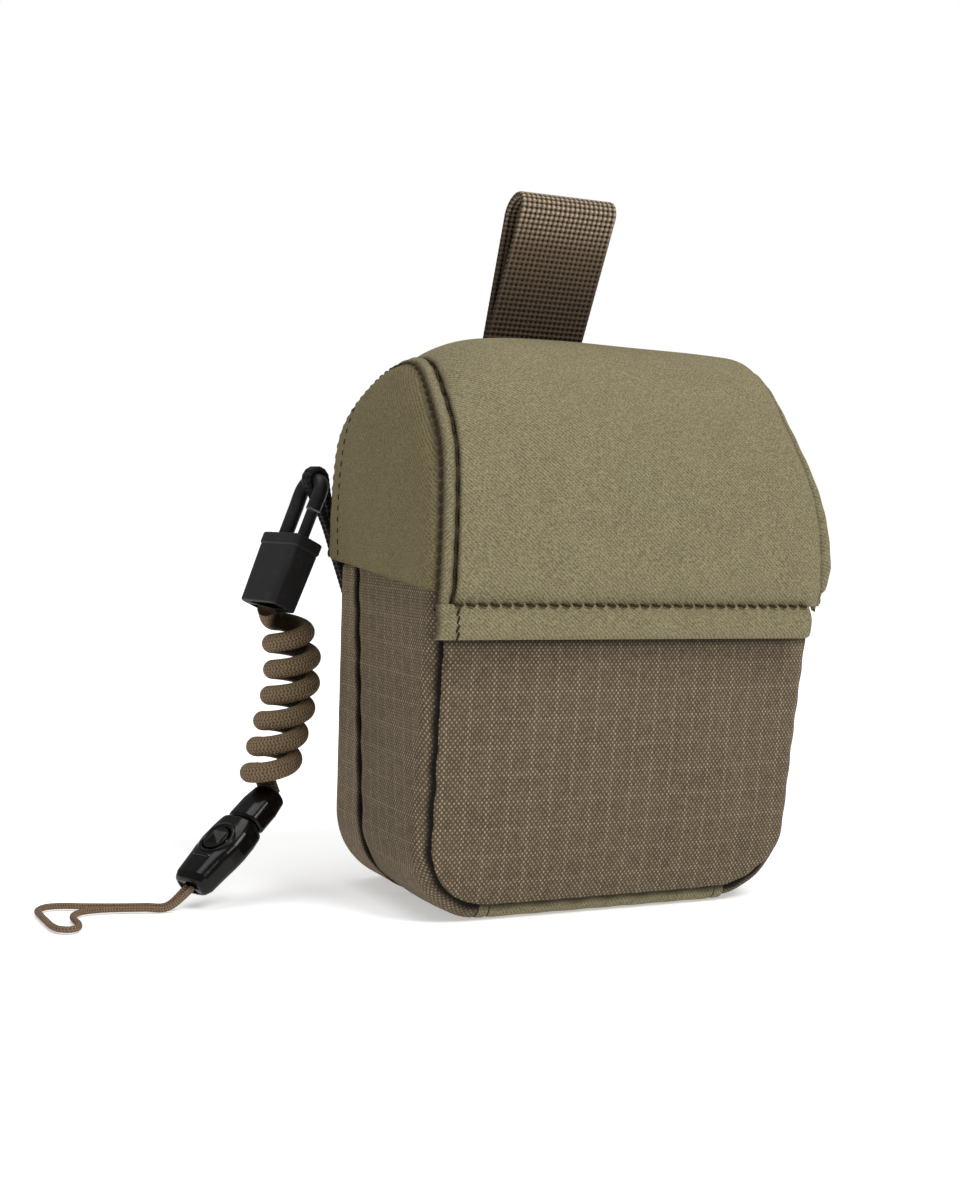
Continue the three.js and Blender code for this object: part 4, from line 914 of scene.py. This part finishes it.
def hem():
    """Across: flat, then round each end by the soft edge's radius. Down: from the pinched fold
    line over a full face and round the lower edge back to the front panel."""
    flat = np.linspace(-1, HEM_RIGHT_SHARE, 120)
    left, right = (np.linspace(0, turn, 20)[1:] for turn in HEM_TURNS)
    share = np.concatenate([-np.ones(19), flat, np.full(19, HEM_RIGHT_SHARE)])[None]
    angle = np.concatenate([left[::-1], np.zeros(120), right])[None]
    x = share * LID_FLAT_HALF + np.sign(share) * LID_EDGE_RADIUS * np.sin(angle)
    face_y = HEM_FRONT_Y + LID_EDGE_RADIUS * (1 - np.cos(angle))
    panel_share = np.clip(x / (BODY_HALF_WIDTH - FRONT_INSET), -1, 1)
    down = np.linspace(0, 1, 46)[:, None]
    height = HEM_TOP_Z - HEM_LOW_Z
    face = np.clip(down / 0.72, 0, 1)
    under = np.clip((down - 0.72) / 0.28, 0, 1)
    z = HEM_TOP_Z - (height - 1.6) * face - 1.6 * np.sin(under * np.pi / 2)
    full = 0.5 * np.sin(np.pi * face) - 1.1 * np.exp(-((HEM_TOP_Z - z) / 2.0) ** 2)
    panel_y = front_seam_y(z) - front_bulge(panel_share, z) - 0.35
    thick = np.clip(panel_y - face_y, 0.4, 2.4)
    y = face_y - full * 0.8 + thick * (1 - np.cos(under * np.pi / 2))
    y = y + pucker(x, HEM_TOP_Z - z, pitch=FOLD_PITCH, proud=0.2, reach=2.2)
    end = (LID_EDGE_RADIUS * (np.where(share < 0, *HEM_TURNS) - angle)
           + LID_FLAT_HALF * np.where(share < 0, 1 + share, HEM_RIGHT_SHARE - share))
    y = y + turned_in(end, 1.0)
    # The distance to the hem's ends sets painted seam shade where it turns in at each end.
    edge = np.minimum(end + 0.5, 9) + 0 * z
    return grid(x, y, z), grid(x, z), edge


sewn_panel("hem_cloth", hem(), olive_softshell, 1.0, "pouch", "olive_softshell", "hem_band")


# Stitching: thick twisted thread along the fold line, finer dark thread along the outer edges of
# the lid's edge strips and the inner edge of the left one, small stitches near the back of each
# wing and slanting ones at the hem's left end.
FINE_PITCH = 2.6
REAR_ROW_Y = 19
FORWARD, REARWARD = (0.0, -1.0, 0.0), (0.0, 1.0, 0.0)


def sewn_thread(name, tone, glint):
    """Two plies twisted together, seen as slanting light and dark stripes."""
    finish = Finish(name)
    across, along = finish.cloth_place()
    ply = (across * 1.3 + along * 1.6).wave(0.9)
    fuzz = finish.speckle(0.25)
    return finish.done((ply * 0.35 + 0.3 + fuzz * 0.4).between(tone, glint), 0.7, ply, 0.05,
                       {"Specular IOR Level": 0.1})


def stitch_row(name, path, out, pitch, length, thread, material, body, slot, tilt=0.0, lift=0.3):
    """Stitches at even steps along a path: each is a short round thread, arched outwards and
    sunk at both ends, thin at the tips, and turned by a tilt within the cloth."""
    marks = np.arange(pitch / 2, run_of(path)[-1], pitch)
    at = walked(path, marks)
    normal = unit(walked(path, marks, np.broadcast_to(out, path.shape)))
    along = unit(walked(path, marks + 0.3) - walked(path, marks - 0.3))
    beside = unit(np.cross(normal, along))
    along, beside = (along * np.cos(tilt) + beside * np.sin(tilt),
                     beside * np.cos(tilt) - along * np.sin(tilt))
    t = np.linspace(-1, 1, 8)[None, :, None, None]
    turn = np.linspace(0, 2 * np.pi, 8)[None, None, :-1, None]
    radius = thread / 2 * np.sqrt(np.maximum(0.06, 1 - np.abs(t) ** 5))
    spread = (slice(None), None, None)
    points = (at[spread] + along[spread] * t * length / 2
              + normal[spread] * (lift * (1 - t ** 2) - 0.15 + radius * np.cos(turn))
              + beside[spread] * radius * np.sin(turn))
    count = len(marks)
    i, j = (k.ravel() for k in np.meshgrid(np.arange(7), np.arange(7), indexing="ij"))
    one = np.stack([i * 7 + j, i * 7 + (j + 1) % 7, (i + 1) * 7 + (j + 1) % 7, (i + 1) * 7 + j], 1)
    caps = np.stack([np.arange(7)[::-1], 49 + np.arange(7)])
    start = np.arange(count)[:, None, None] * 56
    quads, ends = (one[None] + start).reshape(-1, 4), (caps[None] + start).reshape(-1, 7)
    spot = grid(turn[..., 0] * thread / 2, t[..., 0] * length / 2 + marks[:, None, None])
    corners = np.concatenate([quads.ravel(), ends.ravel()])
    fitted(put_down(name, points.reshape(-1, 3), quads.tolist() + ends.tolist(),
                    spot.reshape(-1, 2)[corners], material), body, slot)


dark_thread = sewn_thread("dark_thread", (0.016, 0.009, 0.004, 1), (0.085, 0.056, 0.03, 1))
fold_y = HEM_FRONT_Y + 0.55
fold_line = np.linspace([-45.2, fold_y, FOLD_Z], [44.6, fold_y, FOLD_Z], 200)
stitch_row("fold_stitches", fold_line, FORWARD, FOLD_PITCH, 2.3, 0.7, dark_thread, "pouch",
           "olive_softshell", tilt=-0.16, lift=0.35)


def edge_line(sign, angle, level):
    """A line along the lid's soft edge at one angle, with its outward direction."""
    path = lid_strip(shell_profile, sign, sign, np.array([[angle]]), np.array([[level]]))[:, 0]
    into_y, into_z = shell_profile[2][:, 0], shell_profile[3][:, 0]
    out = np.column_stack([np.full(len(path), sign * np.sin(angle)),
                           -into_y * np.cos(angle), -into_z * np.cos(angle)])
    return path, out


for sign, side in SIDES:
    outer = edge_line(sign, EDGE_TURNS[sign][1] + 0.02, 0.45 + 0.25 * sign)
    stitch_row(f"lid_{side}_outer_stitches", *outer, FINE_PITCH, 2.2, 0.55, dark_thread, "lid",
               "olive_softshell")
    wing_points = wing(sign)[0]
    rear = wing_points[np.argmin(np.abs(wing_points[:, 0, 1] - REAR_ROW_Y)), 4:92]
    stitch_row(f"lid_{side}_rear_stitches", rear, (float(sign), 0.0, 0.0), FINE_PITCH, 1.7, 0.42,
               dark_thread, "lid", "olive_softshell", lift=0.2)
stitch_row("lid_left_inner_stitches", *edge_line(-1, EDGE_TURNS[-1][0] - 0.02, 0.75), FINE_PITCH,
           2.1, 0.52, dark_thread, "lid", "olive_softshell")
end_x, end_y = -44.2, HEM_FRONT_Y - 0.3
end_line = np.linspace([end_x, end_y, FOLD_Z - 0.6], [end_x, end_y, HEM_LOW_Z + 0.8], 30)
stitch_row("hem_left_end_stitches", end_line, FORWARD, 1.7, 1.9, 0.5, dark_thread, "pouch",
           "olive_softshell", tilt=-0.35, lift=0.2)


# Webbing pull loop: 25 mm nylon webbing folded double over an open eye, both ends caught in the
# seam across the lid's crest. It leans to the right and its weave shows as rows of small holes.
PULL_WIDTH, PULL_WEBBING = 25, 1.4
PULL_EYE, PULL_CENTRE = 4.1, 28.7
PULL_FOOT_HALF, PULL_SUNK, PULL_LEAN = 0.75, 1.2, np.radians(12)
pull_foot = np.array([-9.2, 3.3, 130.444])
WEFT, WARP = 1.25, 1.2
RIGHTWARD = np.array([1.0, 0, 0])
YARN_SHADE = (0.006, 0.0035, 0.002, 1)


def strap_grid(path, side, width, thickness, count, deep):
    """A flat strap: the path plus a place across it along the side direction, plus or minus half
    the thickness square to both, with half round edges. Where the waves across and along both
    peak the face sinks by a depth, which leaves a lattice of yarns."""
    out = unit(np.cross(side, unit(np.gradient(path, axis=0))))
    half, radius = width / 2 - thickness / 2, thickness / 2
    flat = np.linspace(-half, half, count)
    turn = np.linspace(np.pi / 2, -np.pi / 2, 10)[1:-1]
    across = np.concatenate([flat, half + radius * np.cos(turn),
                             flat[::-1], -half - radius * np.cos(turn)])
    level = np.concatenate([np.full(count, radius), radius * np.sin(turn), np.full(count, -radius),
                            -radius * np.sin(turn)])
    run = run_of(path)[:, None]
    peaks = (1 + np.cos(2 * np.pi * across / WEFT)) * (1 + np.cos(2 * np.pi * run / WARP))
    hole = (0.25 * peaks) ** 1.4
    sunk = level * (1 - deep * hole / radius * (np.abs(across) < half - 0.3))
    sunk = sunk + np.sign(level) * 0.05 * np.cos(2 * np.pi * run / WARP + np.pi)
    points = path[:, None] + across[None, :, None] * side + sunk[..., None] * out[:, None]
    return points, grid(np.append(across, across[0])[None], run)


def webbing(name, dark, light, fold=30.0, pale=0.0):
    """Nylon yarns: pale on the crowns of the lattice, near black in its holes, uneven from yarn to
    yarn, with painted light that makes them paler towards the fold, and a painted highlight of pale tan on
    the crowns near the fold when pale is set."""
    finish = Finish(name)
    across, along = finish.cloth_place()
    column = finish.shade.maths("COSINE", across * (2 * np.pi / WEFT)) * 0.5 + 0.5
    row = finish.shade.maths("COSINE", along * (2 * np.pi / WARP)) * 0.5 + 0.5
    hole = column * row
    crown = (1 - column) * (1 - row)
    fibre = finish.speckle(0.4, detail=3.0, roughness=0.6)
    off = along - fold
    # Painted light: the yarns get paler towards the fold, where the loop's top catches the light.
    rubbed_and_painted_light = 1 - abs(off).step(1.0, 30.0)
    top = 1 - abs(off).step(4.0, 15.0)
    yarn = 0.33 + crown * 0.28 - hole.step(0.25, 0.9) * 0.34 + (fibre - 0.5) * 0.7
    tone = yarn * (rubbed_and_painted_light * 0.8 + 0.45)
    # Painted highlight: pale tan on the crowns near the fold, scaled by pale.
    colour = (top * crown * fibre * pale).between(tone.between(dark, light), (0.62, 0.52, 0.38, 1))
    return finish.done(colour, 0.55, crown * 0.8 - hole + fibre, 0.12,
                       {"Specular IOR Level": 0.12})


def pull_path():
    """Up the front leaf, half round the eye, down the back leaf; it leans to the right."""
    turn = np.linspace(np.pi, 0, 60)
    leaf = np.linspace(0, 1, 60)[:-1]
    opening = PULL_FOOT_HALF + (PULL_EYE - PULL_FOOT_HALF) * leaf
    height = -PULL_SUNK + (PULL_CENTRE + PULL_SUNK) * leaf
    y = np.concatenate([-opening, PULL_EYE * np.cos(turn), opening[::-1]])
    z = np.concatenate([height, PULL_CENTRE + PULL_EYE * np.sin(turn), height[::-1]])
    return evenly(pull_foot + np.column_stack([np.tan(PULL_LEAN) * z, y, z]), 0.21)


brown_webbing = webbing("brown_webbing", YARN_SHADE, (0.25, 0.172, 0.105, 1), fold=35.5, pale=1.2)
plain_webbing = webbing("plain_brown_webbing", YARN_SHADE, (0.2, 0.138, 0.085, 1))
pull_grid = strap_grid(pull_path(), RIGHTWARD, PULL_WIDTH, PULL_WEBBING, count=110, deep=0.32)
fitted(cloth_mesh("pull_webbing", *pull_grid, brown_webbing, around=True),
       "pull", "brown_webbing", "pull_loop")


# Belt loop: one length of wider webbing on the back, sewn down at each end with a row of
# stitches and standing off between them so that a belt goes through.
BELT_WIDTH, BELT_WEBBING = 38, 1.5
BELT_SEAM_HALF, BELT_SEAM_Y = 17.5, 29.3
belt_bends = np.array([[28.5, 14], [28.6, 16.5], [29.6, 19], [33.4, 23], [34.4, 26], [34.4, 42],
                       [34.4, 58], [33.4, 61], [29.6, 65], [28.6, 67.5], [28.5, 70]])
belt_run = evenly(smooth_run(np.column_stack([np.zeros(11), belt_bends])), 0.3)
belt_grid = strap_grid(belt_run, RIGHTWARD, BELT_WIDTH, BELT_WEBBING, count=150, deep=0.2)
fitted(cloth_mesh("belt_webbing", *belt_grid, plain_webbing, around=True),
       "pouch", "brown_webbing", "belt_loop")
for name, height in (("belt_low_stitches", 15.2), ("belt_high_stitches", 68.8)):
    row = np.linspace([-BELT_SEAM_HALF, BELT_SEAM_Y, height], [BELT_SEAM_HALF, BELT_SEAM_Y, height], 80)
    stitch_row(name, row, REARWARD, 2.4, 2.0, 0.5, dark_thread, "pouch", "brown_webbing")


# Anchor loop: narrow black tape folded round the hook's bar, its two ends brought down behind
# the lid to a tab sewn on the left of the back panel.
black_webbing = webbing("black_webbing", (0.002, 0.002, 0.002, 1), (0.02, 0.02, 0.021, 1))
bar_out = np.array([-0.292372, 0.956305, 0.0])
bar_right = np.array([0.956305, 0.292372, 0.0])
UPWARD = np.array([0, 0, 1.0])
ANCHOR_REACH, ANCHOR_RING = 31.4, 2.65
STEM_X, STEM_Z, TAB_X, TAB_Y = -38.6, 67, -38, 28.4


def anchor_path():
    """Up one side of the strap, round the bar by two thirds of a turn, and down the other side."""
    along = np.array([0.382, -0.924])
    beside = np.array([0.924, 0.382])
    turn = np.radians(np.linspace(70, 290, 40))[:, None]
    ring = ANCHOR_RING * (np.cos(turn) * along + np.sin(turn) * beside)
    legs = np.array([[ANCHOR_REACH, 0.85], [20, 0.85], [10, 0.9]])
    up = legs[:, :1] * along + legs[:, 1:] * beside
    down = (legs[:, :1] * along - legs[:, 1:] * beside)[::-1]
    flat = np.vstack([up, ring, down])
    return evenly(smooth_run(hook_pivot + flat[:, :1] * bar_right + flat[:, 1:] * UPWARD), 0.3)


anchor_bits = [
    ("anchor_tape", anchor_path(), bar_out, 3.2, 1.5),
    ("anchor_stem", np.linspace([STEM_X, 28.2, STEM_Z], [STEM_X, 42.6, STEM_Z], 50), UPWARD, 5, 3.4),
    ("anchor_tab", np.linspace([TAB_X, TAB_Y, 52], [TAB_X, TAB_Y, 72], 70), RIGHTWARD, 10, 1.5),
]
for name, run, side, width, thickness in anchor_bits:
    tape_grid = strap_grid(run, side, width, thickness, count=40, deep=0.12)
    fitted(cloth_mesh(name, *tape_grid, black_webbing, around=True),
           "pouch", "black_webbing", "anchor_loop")


# Hook: a moulded block with a thin parting line below its shoulder, a shackle that turns in the
# anchor loop, and a sprung gate that closes the shackle.
def black_plastic(name, roughness, grain, dark, light):
    """Black resin with the fine grain of its mould and faint rub marks."""
    finish = Finish(name)
    rubbed_and_painted_light = finish.speckle(2.2, detail=4.0).step(0.5, 0.75)
    return finish.done((rubbed_and_painted_light * 0.5).between(dark, light),
                       rubbed_and_painted_light * 0.12 + roughness, finish.speckle(0.16, detail=2.0), grain,
                       {"Specular IOR Level": 0.2})


def squarer(wave, bend):
    """A sine or cosine raised to a power below one, its sign kept: the corners of a superellipse."""
    return np.sign(wave) * np.abs(wave) ** bend


def moulded(sections, bevel, rows, sides, power=7.0, step=0.0):
    """A body along its own Z: at each height the section is a superellipse whose half sizes run
    straight between the given ones; both ends are rounded by a bevel. step sinks a parting line
    at the second section."""
    z, half_x, half_y = np.array(sections, float).T
    inner = np.linspace(z[0], z[-1], rows)
    ease = np.pi / 2 * np.linspace(0, 1, 8)
    way = np.sign(z[-1] - z[0])
    heights = np.concatenate([z[0] + way * bevel * (1 - np.cos(ease)),
                              inner[(np.abs(inner - z[0]) > bevel) & (np.abs(inner - z[-1]) > bevel)],
                              z[-1] - way * bevel * (1 - np.cos(ease[::-1]))])
    near = np.minimum(np.abs(heights - z[0]), np.abs(heights - z[-1]))
    shrink = turned_in(near, bevel) + step * np.exp(-((heights - z[1]) / 0.22) ** 2)
    order = np.argsort(z)
    a = (np.interp(heights, z[order], half_x[order]) - shrink)[:, None]
    b = (np.interp(heights, z[order], half_y[order]) - shrink)[:, None]
    turn = np.linspace(0, 2 * np.pi, sides + 1)[None]
    x, y = a * squarer(np.cos(turn), 2 / power), b * squarer(np.sin(turn), 2 / power)
    points = grid(x, y, heights[:, None])
    return points[:, :-1], grid(turn * 4, heights[:, None])


GRAIN, FINE_GRAIN = 0.03, 0.008
LEG = 3.6
hook_axes = np.stack([np.cross(bar_out, -hook_down), bar_out, -hook_down])
hook_plastic = black_plastic("hook_plastic", 0.42, GRAIN, (0.016, 0.0155, 0.016, 1),
                             (0.03, 0.029, 0.03, 1))
block = moulded([(-15.6, 4.1, 7.7), (-18.6, 4.1, 7.7), (-18.8, 3.9, 7.4), (-33.5, 3.7, 7.0)],
                bevel=0.5, rows=140, sides=120, power=9.0, step=0.2)
shackle_bends = np.array([[0, LEG, -17.5], [0, LEG, -8], [0, LEG, -2.5], [0, 2.5, -0.7], [0, 0, 0],
                          [0, -2.5, -0.7], [0, -LEG, -2.5], [0, -LEG, -8]])
shackle = cord_grid(evenly(smooth_run(shackle_bends), 0.3), radius=1.8, sides=28)
gate = cord_grid(np.linspace([0, -LEG, -18.2], [0, -LEG, -8.4], 40), radius=1.45, sides=24)
hook_bits = [("hook_block", block, "hook", "hook_body"),
             ("hook_shackle", shackle, "hook", "hook_body"),
             ("hook_spring_gate", gate, "gate", "hook_gate")]
for name, (points, cloth), body, node in hook_bits:
    made = cloth_mesh(name, hook_pivot + points @ hook_axes, cloth, hook_plastic, around=True)
    fitted(made, body, "black_plastic", node)


# Quick-release buckle: a plug on the coil clicks into a socket on the tether. The socket's
# collar holds a round release button with a square point, and a ridge gives the thumb a grip.
buckle_origin = np.array([-73.224, 15.272, 16.553])
buckle_level = np.array([-0.438835, 0.898568, 0.0])
buckle_axes = np.stack([buckle_level, np.cross(plug_out, buckle_level), plug_out])
SOCKET_LENGTH = 19.762
WELL_Z, WELL_RADIUS, WELL_DEPTH = -7.7, 3.4, 1.5
gloss_plastic = black_plastic("gloss_plastic", 0.15, FINE_GRAIN, (0.003, 0.0024, 0.002, 1),
                              (0.012, 0.01, 0.008, 1))


def socket_shell():
    """The socket's body; its upper face sinks into a round well with a raised lip round it, and
    rises into a short bar behind the well."""
    points, cloth = moulded(
        [(-0.15, 4.9, 3.5), (-1.6, 5.5, 3.5), (-4, 6, 3.5), (-7.7, 6.2, 3.5), (-10.5, 5.9, 3.5),
         (-13, 5.4, 3.5), (-17.8, 4.9, 3.3), (-SOCKET_LENGTH, 4.1, 2.66)],
        bevel=0.8, rows=190, sides=200, power=3.2)
    x, y, z = np.moveaxis(points, -1, 0)
    face = y > 1.2
    away = np.hypot(x, z - WELL_Z)
    sunk = WELL_DEPTH * np.clip((WELL_RADIUS - away) / 0.35 + 0.5, 0, 1)
    lip = 0.28 * np.exp(-((away - WELL_RADIUS - 0.75) / 0.45) ** 2)
    bar = 0.45 * np.exp(-((z + 13) / 0.38) ** 4) * np.clip((2.6 - np.abs(x)) / 0.4, 0, 1)
    points[..., 1] = y + face * (lip + bar - sunk)
    return points, cloth


def button_face():
    """A disc with a square point: rings out from the middle, the height falling with the larger
    of the two distances, then a rim and a skirt."""
    turn = np.linspace(0, 2 * np.pi, 65)[None]
    radius = np.concatenate([np.linspace(0.02, 2.95, 40), [3.05, 3.1, 3.1]])[:, None]
    x, z = radius * np.cos(turn), radius * np.sin(turn)
    point = 1.1 * np.clip(1 - np.maximum(np.abs(x), np.abs(z)) / 1.9, 0, 1)
    drop = np.concatenate([np.zeros(40), [0.05, 0.3, 0.8]])[:, None]
    y = 0.8 + point - drop
    points = grid(x, y + 3, z + WELL_Z)
    return points[:, :-1], grid(radius, turn)


plug = moulded([(0.15, 4.8, 3.2), (6, 4.7, 3.2), (10.4, 3.9, 2.85)],
               bevel=0.9, rows=90, sides=140, power=2.8)
buckle_bits = [("plug_shell", plug, "hook", "buckle_plug"),
               ("socket_body", socket_shell(), "socket", "buckle_socket"),
               ("button_point", button_face(), "button", "release_button")]
for name, (points, cloth), body, node in buckle_bits:
    made = cloth_mesh(name, buckle_origin + points @ buckle_axes, cloth, gloss_plastic, around=True)
    fitted(made, body, "gloss_black_plastic", node)


# Padding: sheets of closed-cell foam behind the front, sides, bottom, back and lid, glued to
# the cloth and held by the seams.
WALL_FOAM, BACK_FOAM, LID_FOAM = 2.5, 6, 2
FOAM_DEPTH = FABRIC + SEAM_GAP
NO_SEAM = 9.0


def foam_grain(name):
    """Grey cells of half a millimetre."""
    finish = Finish(name)
    cells = finish.speckle(0.5, detail=3.0)
    return finish.done(cells.between((0.17, 0.17, 0.165, 1), (0.3, 0.3, 0.29, 1)), 0.95, cells, 0.12)


def foam_strip(start, end, rows):
    """A flat strip along the body's outline, one layer in from the cloth."""
    run = np.linspace(start, end, rows)[:, None]
    ox, oz, nx, nz = outline(run)
    low, high = front_seam_y(oz) + SEAM_CURL + SEAM_GAP, back_seam_y(oz)
    y = high + (low - high) * np.linspace(0, 1, 12)[None]
    points = grid(ox + nx * FOAM_DEPTH, y, oz + nz * FOAM_DEPTH)
    return points, grid(y, run), NO_SEAM


def foam_plate(inset, top, depth):
    """A plate with the body's outline; depth(share, z) places it."""
    z = panel_heights(inset, top, 50)[:, None]
    share = np.linspace(-1, 1, 40)[None]
    x = share * body_half_width(z, inset)
    points = grid(x, depth(share, z), z)
    return points, grid(x, z), NO_SEAM


def lid_layer(level):
    """The lid's flat part at a level below its outer face, for padding and lining."""
    share = np.linspace(-1, 1, 30)[None]
    points = lid_strip(pad_profile, share, 0, 0, np.full((1, 1), level))
    return points, grid(share * LID_FLAT_HALF, pad_profile[4]), NO_SEAM


pad_profile = lid_profile(90, LID_LOW_Z + SOFTSHELL + SEAM_GAP, LID_BACK_EDGE_Z + SEAM_GAP)
grey_foam = foam_grain("grey_foam")
pads = [
    ("front_pad", foam_plate(FOAM_DEPTH + WALL_FOAM + SEAM_GAP, FOLD_Z - SEAM_GAP, lambda share, z: (
        front_seam_y(z) - front_bulge(share, z) + FOAM_DEPTH)), WALL_FOAM, "pouch", "front_foam"),
    ("left_pad", foam_strip(0.3, CORNER_RUN - 3, 60), WALL_FOAM, "pouch", "left_foam"),
    ("right_pad", foam_strip(WHOLE_RUN - CORNER_RUN + 3, WHOLE_RUN - 0.3, 60), WALL_FOAM,
     "pouch", "right_foam"),
    ("bottom_pad", foam_strip(BOTTOM_START, WHOLE_RUN - BOTTOM_START, 30), WALL_FOAM,
     "pouch", "bottom_foam"),
    ("back_pad", foam_plate(BACK_CURL + SEAM_GAP, BODY_RIM_Z - SEAM_GAP, lambda share, z: (
        BACK_Y - FOAM_DEPTH + 0 * share)), BACK_FOAM, "pouch", "back_foam"),
    ("lid_pad", lid_layer(SOFTSHELL + SEAM_GAP), LID_FOAM, "lid", "lid_foam"),
]
for name, shape, thickness, body, node in pads:
    middle = LID_MIDDLE if body == "lid" else POUCH_MIDDLE
    sewn_panel(name, shape, grey_foam, thickness, body, "foam", node, inside=middle)


# Lining: a brushed bag inside the pouch whose top edge is rolled over into a soft collar, a
# round patch of the same cloth that holds a magnet on the collar's back, and a sheet of it glued
# under the lid.
LINING = 0.8
LINER_INSET = FOAM_DEPTH + WALL_FOAM + SEAM_GAP
LINER_BACK_Y, LINER_FRONT_GAP = 19.5, 4.3
COLLAR_Z, COLLAR_ROLL = 88, 1.3
PATCH_RADIUS, PATCH_SLOPE, PATCH_RISE, PATCH_Z = 8, 2.6, 3, 82.7


def brushed(name):
    """A short fine nap with a faint cloudiness and a soft sheen."""
    finish = Finish(name)
    nap = finish.speckle(0.4, detail=4.0)
    cloudy = finish.speckle(6, detail=3.0)
    colour = (nap * 0.6 + cloudy * 0.4).between((0.03, 0.024, 0.015, 1), (0.12, 0.1, 0.066, 1))
    return finish.done(colour, 0.95, nap, 0.15, {"Sheen Weight": 0.3, "Sheen Roughness": 0.5})


def liner_bag():
    """Rings from the outside of the rolled collar over its top and down the walls to the floor:
    each is a superellipse as wide as the body's outline less the padding."""
    roll = np.linspace(1.3 * np.pi, 0, 24)
    turn = np.linspace(0, np.pi / 2, 30)
    radius = CORNER_RADIUS - LINER_INSET
    z = np.concatenate([COLLAR_Z - COLLAR_ROLL * (1 - np.sin(roll)),
                        np.linspace(COLLAR_Z - COLLAR_ROLL, CORNER_RADIUS, 50)[1:-1],
                        CORNER_RADIUS - radius * np.sin(turn)])[:, None]
    spread = np.zeros_like(z)
    spread[:24, 0] = COLLAR_ROLL * (1 - np.cos(roll))
    half = body_half_width(z, LINER_INSET) + spread
    front = front_seam_y(np.minimum(z, FOLD_Z)) + LINER_FRONT_GAP - spread
    back = LINER_BACK_Y + spread
    around = np.linspace(0, 2 * np.pi, 121)[None]
    x = half * squarer(np.cos(around), 0.25)
    y = (front + back) / 2 + (back - front) / 2 * squarer(np.sin(around), 0.25)
    points = grid(x, y, z)
    return points[:, :-1], grid(around * 30, z)


brown_lining = brushed("brown_lining")
bag = cloth_mesh("liner_bag", *liner_bag(), brown_lining, around=True, caps=(False, True))
fitted(backed(bag, LINING), "pouch", "lining", "liner")


def magnet_pocket():
    """A round patch on the back of the collar: level over the disc, sloping down to its rim."""
    reach, turn = np.linspace(0.05, PATCH_RADIUS, 16)[:, None], np.linspace(0, 2 * np.pi, 49)[None]
    rise = np.clip((PATCH_RADIUS - reach) / PATCH_SLOPE, 0, 1)
    y = LINER_BACK_Y - SEAM_GAP + PATCH_RISE * eased(rise)
    z = np.minimum(PATCH_Z + reach * np.sin(turn), COLLAR_Z - 0.8)
    points = grid(reach * np.cos(turn), y, z)
    return points, points[..., ::2]


fitted(cloth_mesh("magnet_pocket", *magnet_pocket(), brown_lining, inside=POUCH_MIDDLE),
       "pouch", "lining")
sewn_panel("lid_lining_cloth", lid_layer(SOFTSHELL + 2 * SEAM_GAP + LID_FOAM), brown_lining, LINING,
           "lid", "lining", "lid_lining", inside=LID_MIDDLE)


# Magnets: two nickel-plated discs that hold the lid shut, one in the lid's padding and one under
# the patch on the back of the collar.
nickel = Finish("nickel")
scuffs = nickel.speckle(1.5, detail=4.0)
plated = nickel.done((0.62, 0.6, 0.57, 1), scuffs * 0.2 + 0.2, settled={"Metallic": 1.0})
for name in ("lid_magnet", "back_magnet"):
    nodes[name].material_slots[0].material = plated
